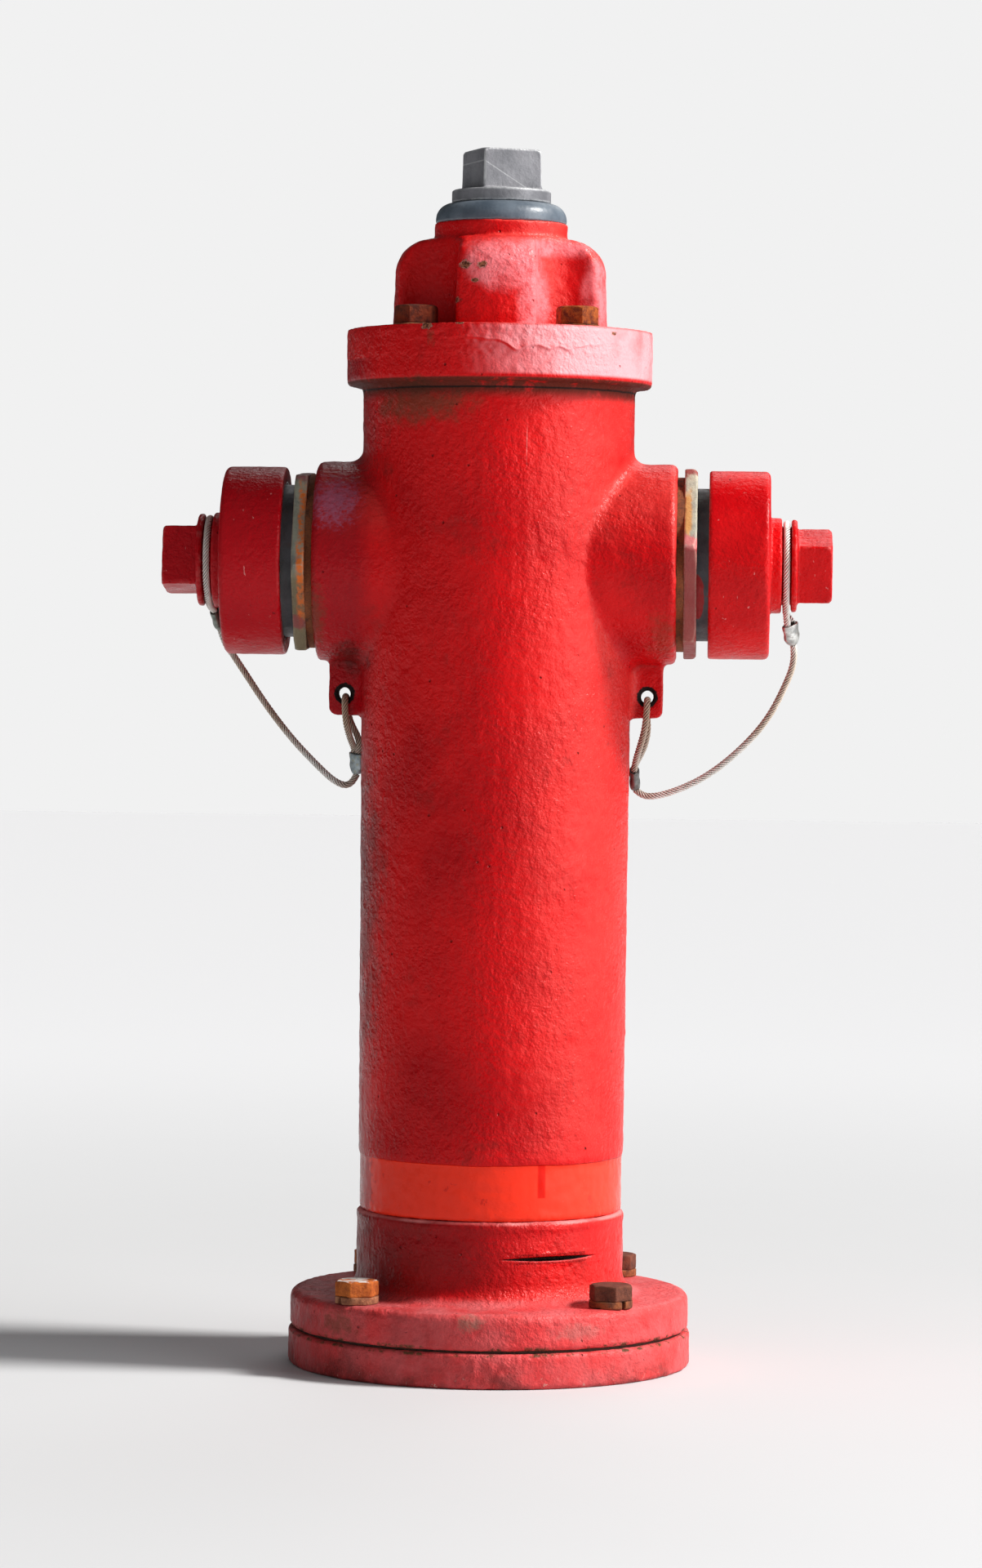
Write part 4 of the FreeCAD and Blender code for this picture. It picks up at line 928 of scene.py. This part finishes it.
def joint_paint():
    """The gasket, and the coat of paint that covers the joint's edge, with a run down its front."""
    low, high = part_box("bonnet_gasket")
    sides, rows = 700, 46
    bottom, top = low.z - 0.010, low.z + 0.0122
    inner_radius, bore_radius = 0.0830, 0.0540
    outline = []
    for row in range(rows + 1):
        height = bottom + (top - bottom) * row / rows
        cover = smooth_step(height, bottom, low.z - 0.001) * smooth_step(height, top, top - 0.003)
        outline.append((RING_RADIUS - 0.0003 + 0.00042 * cover, height))
    outline += [(inner_radius, top), (inner_radius, high.z), (bore_radius, high.z - 0.0001)]
    outline += [(bore_radius, low.z + 0.0001), (inner_radius, low.z), (inner_radius, bottom)]
    vertices = []
    for radius, height in outline + outline[:1]:
        for side in range(sides):
            turn = 2 * math.pi * side / sides
            vertices.append((radius * math.cos(turn), radius * math.sin(turn), height))
    piece = new_piece("painted_joint", vertices, tube_faces(len(outline) + 1, sides, False))
    weld(piece)
    roughen(piece, *CAST_ROUGHNESS)
    points = vectors_of(piece)
    outer = np.hypot(points[:, 0], points[:, 1]) > inner_radius + 0.0002
    raise_surface(piece, paint_run(points) * outer)
    return piece


def make_castings():
    cast_barrel()
    bonnet_enamel = bonnet_finish()
    stand_in(casting("bonnet", 0.00105), "bonnet", bonnet_enamel)
    cast_foot()
    stand_in(joint_paint(), "bonnet_gasket", bonnet_enamel)
    for side in SIDES:
        cap = skin(f"cast_{side}_cap", f"{side}_cap", 0.0011, 2, 0.0003, 0.00035, 0.0045)
        stand_in(cap, f"{side}_cap", cap_finish(side))
        ring = skin(f"worn_{side}_lock_ring", f"{side}_lock_ring", 0.001, 1, 0.0002, 0.00025, 0.004)
        stand_in(ring, f"{side}_lock_ring", lock_ring_finish(side))
    dome = skin("painted_hold_down_nut", "hold_down_nut", 0.0011, 1, 0.0002, 0.0001, 0.004)
    stand_in(dome, "hold_down_nut", hold_down_finish())
    nut = skin("worn_operating_nut", "operating_nut", 0.0009, 2, 0.0003, 0.0002, 0.004)
    clear_bore(nut, NUT_BORE_RADIUS, NUT_BORE_TOP)
    stand_in(nut, "operating_nut", iron_finish())


def make_fasteners():
    pale, brown, near_black = rgb(206, 205, 200), rgb(112, 66, 40), rgb(66, 38, 28)
    base = rusty_finish(
        "rusty_base_bolts",
        (rgb(196, 104, 40), rgb(146, 70, 28), pale, 0.95),
        (rgb(118, 66, 48), rgb(78, 42, 32), rgb(104, 58, 46), 0.6),
    )
    bonnet = rusty_finish(
        "rusty_bonnet_bolts",
        (rgb(128, 58, 30), rgb(72, 32, 22), near_black, 0.8),
        (rgb(176, 92, 36), rgb(96, 40, 24), brown, 0.6),
    )
    washers = rusty_finish(
        "rusty_washers",
        (rgb(176, 118, 84), rgb(112, 66, 46), brown, 0.4),
        (rgb(150, 84, 48), rgb(84, 46, 34), brown, 0.4),
    )
    for node, finish in (
        ("base_bolts", base),
        ("base_spring_washers", washers),
        ("bonnet_bolts", bonnet),
        ("bonnet_washers", washers),
    ):
        piece = skin("rusted_" + node, node, 0.00065, 1, 0.0003, 0.00035, 0.003)
        stand_in(piece, node, finish)


# Nozzles, with their threads


def threaded_nozzle(side):
    """The nozzle as a turned piece, with a helical thread that the cap screws on."""
    low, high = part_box(side + "_nozzle")
    start, end = sorted((abs(low.x), abs(high.x)))
    radius = (high.z - low.z) / 2
    bore, crest, depth = 0.032, 0.03895, 0.0017
    shoulder, runout = 0.1175, 0.0015
    sides, rows_per_pitch = 120, 10
    outline = [(start, bore), (start, radius - 0.0005), (start + 0.0005, radius), (0.103, radius)]
    outline += [(0.107, radius), (0.11, radius), (0.113, radius), (shoulder - 0.0006, radius)]
    outline += [(shoulder, radius - 0.0006), (shoulder, crest - depth), (shoulder + runout, crest - depth)]
    count = round((end - shoulder - runout - 0.001) / THREAD_PITCH * rows_per_pitch)
    first = shoulder + runout
    step = (end - 0.001 - first) / count
    outline += [(first + step * row, None) for row in range(1, count + 1)]
    outline += [(end, crest - depth), (end, bore + 0.0006), (end - 0.0006, bore)]
    vertices = []
    for reach, ring_radius in outline + outline[:1]:
        for number in range(sides):
            turn = 2 * math.pi * number / sides
            here = ring_radius
            if here is None:
                phase = (reach / THREAD_PITCH - SIDES[side] * number / sides) % 1
                ridge = min(max(2.4 * (0.5 - abs(phase - 0.5)) - 0.1, 0), 1)
                ends = min((reach - first) / THREAD_PITCH, (end - reach) / THREAD_PITCH * 2, 1)
                here = crest - depth * (1 - ridge * max(ends, 0))
            up = OUTLET_HEIGHT + here * math.sin(turn)
            vertices.append((SIDES[side] * reach, here * math.cos(turn), up))
    piece = new_piece(f"threaded_{side}_nozzle", vertices, tube_faces(len(outline) + 1, sides, False))
    weld(piece)
    piece.data.set_sharp_from_angle(angle=math.radians(40))
    stand_in(piece, f"{side}_nozzle", neck_finish(side))


# Wire ropes

GROOVE_RADIUS = 0.02295
GROOVE_REACH = 0.15915
GROOVE_STEP = 30
CAP_LOOPS = {
    # side: (the cap's turn, back tail, front tail), each point as (reach, drop, across) on its cap.
    "right": (
        0,
        [(0.1629, 0.0313, -0.0011), (0.1617, 0.0291, 0.0004),
         (0.1594, 0.0267, 0.0042), (0.1592, 0.0223, 0.0108)],
        [(0.1591, 0.0229, -0.0114), (0.1593, 0.0274, -0.0072),
         (0.1597, 0.0302, -0.0046), (0.1601, 0.0327, -0.0033)],
    ),
    "left": (
        25,
        [(0.1576, 0.0301, 0.0019), (0.1579, 0.0286, 0.0029),
         (0.1586, 0.0265, 0.0058), (0.1591, 0.0222, 0.0113)],
        [(0.1591, 0.0226, -0.0109), (0.1586, 0.0267, -0.0056),
         (0.1579, 0.0287, -0.0028), (0.1576, 0.0302, -0.0019)],
    ),
}
TETHERS = {
    "right": [
        (0.16346, 0.00208, 0.39825), (0.1649, 0.0053, 0.3899), (0.1592, 0.0075, 0.3744),
        (0.1496, 0.0094, 0.3558), (0.1346, 0.0114, 0.3390), (0.1176, 0.0132, 0.3252),
        (0.1012, 0.0148, 0.3170), (0.0886, 0.0162, 0.3132), (0.0806, 0.0172, 0.3136),
        (0.0772, 0.0170, 0.3172),
    ],
    "left": [
        (-0.15512, 0.0190, 0.40378), (-0.1533, 0.02355, 0.39614), (-0.1488, 0.0268, 0.3898),
        (-0.1412, 0.0252, 0.3788), (-0.1292, 0.0226, 0.3612), (-0.1146, 0.0196, 0.3430),
        (-0.1008, 0.0170, 0.3290), (-0.0893, 0.0153, 0.3186), (-0.0806, 0.0143, 0.3168),
        (-0.0776, 0.0145, 0.3238),
    ],
}
LUG_LOOPS = {
    "right": [
        (0.0766, 0.0103, 0.3273), (0.0769, 0.0087, 0.3304), (0.0779, 0.0052, 0.3350),
        (0.0802, -0.0006, 0.3425), (0.0824, -0.0056, 0.3505), (0.0833, -0.0069, 0.3580),
        (0.0836, -0.0066, 0.3669), (0.0836, 0.0066, 0.3669), (0.0834, 0.0070, 0.3580),
        (0.0840, 0.0072, 0.3498), (0.0824, 0.0092, 0.3416), (0.0794, 0.0116, 0.3350),
        (0.0773, 0.0130, 0.3316), (0.0766, 0.0137, 0.3289),
    ],
    "left": [
        (-0.0790, 0.0134, 0.3359), (-0.0792, 0.0124, 0.3383), (-0.0798, 0.0088, 0.3406),
        (-0.0809, 0.0022, 0.3444), (-0.0822, -0.0046, 0.3508), (-0.0829, -0.0069, 0.3584),
        (-0.0831, -0.0066, 0.3669), (-0.0831, 0.0066, 0.3669), (-0.0827, 0.0070, 0.3584),
        (-0.0803, 0.0075, 0.3512), (-0.0770, 0.0088, 0.3452), (-0.0758, 0.0100, 0.3400),
        (-0.0763, 0.0105, 0.3374), (-0.0766, 0.0106, 0.3353),
    ],
}


def on_cap(side, reach, drop, across):
    """A point on a cap, which hangs turned by the side's own angle."""
    swing = math.radians(CAP_LOOPS[side][0])
    y = drop * math.sin(swing) + across * math.cos(swing)
    z = OUTLET_HEIGHT - drop * math.cos(swing) + across * math.sin(swing)
    return SIDES[side] * reach, y, z


def cap_loop_route(side):
    """The rope goes from its ferrule round the cap's groove and back."""
    _, back, front = CAP_LOOPS[side]
    corner = GROOVE_RADIUS / math.cos(math.radians(GROOVE_STEP / 2))
    ring = []
    for angle in range(45, 316, GROOVE_STEP):
        turn = math.radians(angle)
        ring.append((GROOVE_REACH, corner * math.cos(turn), corner * math.sin(turn)))
    return [on_cap(side, *place) for place in back + ring + front]


def read_curve(name, route):
    """Even points, ROPE_STEP apart, along the smooth NURBS curve whose control points are the route's."""
    data = bpy.data.curves.new(name, "CURVE")
    data.dimensions = "3D"
    spline = data.splines.new("NURBS")
    spline.points.add(len(route) - 1)
    for point, place in zip(spline.points, route):
        point.co = (*place, 1)
    spline.order_u = 3
    spline.use_endpoint_u = True
    spline.resolution_u = 24
    holder = link(bpy.data.objects.new(name, data))
    places = np.array([tuple(v.co) for v in evaluated_mesh(holder).vertices])
    bpy.data.objects.remove(holder)
    apart = np.linalg.norm(np.diff(places, axis=0), axis=1)
    places = places[np.concatenate([[True], apart > 1e-7])]
    along = np.concatenate([[0], np.cumsum(np.linalg.norm(np.diff(places, axis=0), axis=1))])
    wanted = np.linspace(0, along[-1], round(along[-1] / ROPE_STEP) + 1)
    even = np.stack([np.interp(wanted, along, places[:, k]) for k in range(3)], axis=1)
    return even, wanted


def frames_along(places):
    """Two directions across the line at each point, carried along it without twist."""
    ahead = np.gradient(places, axis=0)
    ahead /= np.linalg.norm(ahead, axis=1)[:, None]
    aside = np.cross(ahead[0], (0, 0, 1) if abs(ahead[0][2]) < 0.9 else (1, 0, 0))
    asides = []
    for direction in ahead:
        aside = aside - direction * np.dot(aside, direction)
        aside = aside / np.linalg.norm(aside)
        asides.append(aside)
    asides = np.array(asides)
    return asides, np.cross(ahead, asides)


def rope_mesh(name, route):
    """Strands of wires laid round a core. Returns (the piece, the points of its centreline)."""
    places, along = read_curve(name + "_line", route)
    aside, over = frames_along(places)
    vertices, faces, reaches = [], [], []
    lay = 2 * math.pi * along / LAY_LENGTH

    def tube(centre_radius, start, radius, sides, wires):
        first = len(vertices)
        turn = lay + start
        out = np.cos(turn)[:, None] * aside + np.sin(turn)[:, None] * over
        round_ = -np.sin(turn)[:, None] * aside + np.cos(turn)[:, None] * over
        rows, depths = [], []
        for number in range(sides):
            angle = 2 * math.pi * number / sides
            size = radius * (1 + wires * np.cos(5 * (angle + 2.2 * lay)))
            reach = centre_radius + size * math.cos(angle)
            sideways = size * math.sin(angle)
            rows.append(places + reach[:, None] * out + sideways[:, None] * round_)
            depths.append(np.hypot(reach, sideways))
        vertices.extend(np.stack(rows, axis=1).reshape(-1, 3))
        reaches.extend(np.stack(depths, axis=1).reshape(-1))
        faces.extend(tuple(first + k for k in face) for face in tube_faces(len(places), sides))

    for strand in range(STRANDS):
        tube(STRAND_CENTRE, 2 * math.pi * strand / STRANDS, STRAND_RADIUS, STRAND_SIDES, 0.07)
    tube(0.0, 0.0, CORE_RADIUS, 8, 0.0)
    piece = new_piece(name, vertices, faces)
    piece.data.attributes.new("reach", "FLOAT", "POINT").data.foreach_set("value", reaches)
    return piece, places


def make_ropes():
    finish = rope_finish()
    for side in SIDES:
        ferrules = make_ferrules(side)
        for kind, route, pieces in (
            ("cap_loop", cap_loop_route(side), [ferrules["cap"]]),
            ("lug_loop", LUG_LOOPS[side], [ferrules["lug"]]),
            ("tether", TETHERS[side][::-1], [ferrules["cap"]]),
        ):
            node = f"{side}_{kind}"
            piece, line = rope_mesh(f"{side}_stranded_{kind}", route)
            if kind == "tether":
                dress(piece, finish)
                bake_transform(piece)
                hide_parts(node)
            else:
                stand_in(piece, node, finish)


# Ferrules: oval sleeves pressed on the rope ends

FERRULES = {
    # name: (the middle of the mouth, the direction to the tail, the direction across).
    "right_cap": ((0.1615, -0.0022, 0.4095), (0.16, 0.35, -0.92), (0.72, 0.6, 0.35)),
    "left_cap": ((-0.1576, 0.0128, 0.4142), (0.2, 0.5, -0.84), (0, 0.86, 0.5)),
    "right_lug": ((0.0766, 0.012, 0.3281), (0.05, 0.42, -0.91), (0, 0.91, 0.42)),
    "left_lug": ((-0.0778, 0.012, 0.3356), (0.02, 0.21, -0.98), (-0.64, 0.75, 0.16)),
}
FERRULE_SECTIONS = [
    # (distance from the mouth, half width, half depth), from inside the mouth round its rim to the tail.
    (0.0030, 0.0042, 0.0019),
    (0.0004, 0.0046, 0.0022),
    (0.0000, 0.0051, 0.0025),
    (0.0002, 0.0055, 0.0029),
    (0.0010, 0.0056, 0.0030),
    (0.0028, 0.0054, 0.0029),
    (0.0044, 0.0050, 0.0026),
    (0.0060, 0.0053, 0.0028),
    (0.0075, 0.0055, 0.0030),
    (0.0090, 0.0049, 0.0030),
    (0.0104, 0.0039, 0.0028),
    (0.0114, 0.0031, 0.0026),
    (0.0120, 0.0023, 0.0021),
    (0.0118, 0.0017, 0.0017),
]


def ferrule_mesh(name, mouth, along, across):
    sides = 40
    along = Vector(along).normalized()
    across = Vector(across)
    across = (across - along * across.dot(along)).normalized()
    through = along.cross(across)
    vertices = []
    for distance, half_width, half_depth in FERRULE_SECTIONS:
        for number in range(sides):
            turn = 2 * math.pi * number / sides
            out = across * (half_width * math.cos(turn)) + through * (half_depth * math.sin(turn))
            place = Vector(mouth) + along * distance + out
            vertices.append(place + out.normalized() * noise.noise(place * 420) * 0.00012)
    piece = new_piece(name, vertices, tube_faces(len(FERRULE_SECTIONS), sides))
    weld(piece)
    rounder = piece.modifiers.new("rounder", "SUBSURF")
    rounder.levels = 1
    bake_modifiers(piece)
    return piece


def make_ferrules(side):
    looks = {
        "right_cap": (rgb(214, 214, 210), rgb(158, 158, 156), rgb(120, 112, 100), 0.4, 0.75),
        "left_cap": (rgb(150, 158, 150), rgb(98, 104, 98), rgb(92, 78, 58), 0.6, 0.4),
        "right_lug": (rgb(132, 132, 130), rgb(74, 72, 70), rgb(96, 72, 52), 0.6, 0.45),
        "left_lug": (rgb(170, 182, 186), rgb(112, 124, 128), rgb(168, 154, 92), 0.5, 0.5),
    }
    made = {}
    for place in ("cap", "lug"):
        name = f"{side}_{place}"
        finish = ferrule_finish(name + "_ferrule_metal", *looks[name])
        piece = ferrule_mesh(f"{side}_pressed_{place}_ferrule", *FERRULES[name])
        stand_in(piece, name + "_ferrule", finish)
        made[place] = piece
    return made


# The CAD nodes that stay as they are, with their finishes


def finish_kept_nodes():
    steel = turned_finish(
        "machined_steel", (90, 90, 2600), (rgb(128, 130, 132), rgb(176, 178, 180)),
        (40, 0.55, 0.7, 0.5), rgb(86, 70, 50), (0.24, 0.42),
    )
    brass = turned_finish(
        "seat_brass", (120, 120, 2200), (rgb(158, 116, 52), rgb(206, 164, 86)),
        (70, 0.5, 0.7, 0.6), rgb(84, 72, 48), (0.25, 0.45),
    )
    joint_sheet = sheet_finish("joint_sheet", rgb(38, 28, 24), rgb(84, 58, 42))
    rusted_sheet = sheet_finish("rusted_sheet", rgb(92, 46, 26), rgb(150, 84, 40))
    for finish, nodes in (
        (steel, "upper_stem lower_stem stem_coupling coupling_pins thrust_washers valve_lock_nut"),
        (brass, "seat_ring seal_plate upper_valve_plate lower_valve_plate"),
        (rubber_finish(), "valve_rubber stem_o_rings plate_o_ring right_cap_gasket left_cap_gasket"),
        (joint_sheet, "flange_gasket"),
        (rusted_sheet, "right_nozzle_gasket left_nozzle_gasket"),
    ):
        for node in nodes.split():
            dress(NODES[node], finish)


make_camera()
make_ropes()
make_castings()
make_fasteners()
for outlet in SIDES:
    threaded_nozzle(outlet)
finish_kept_nodes()
make_studio()
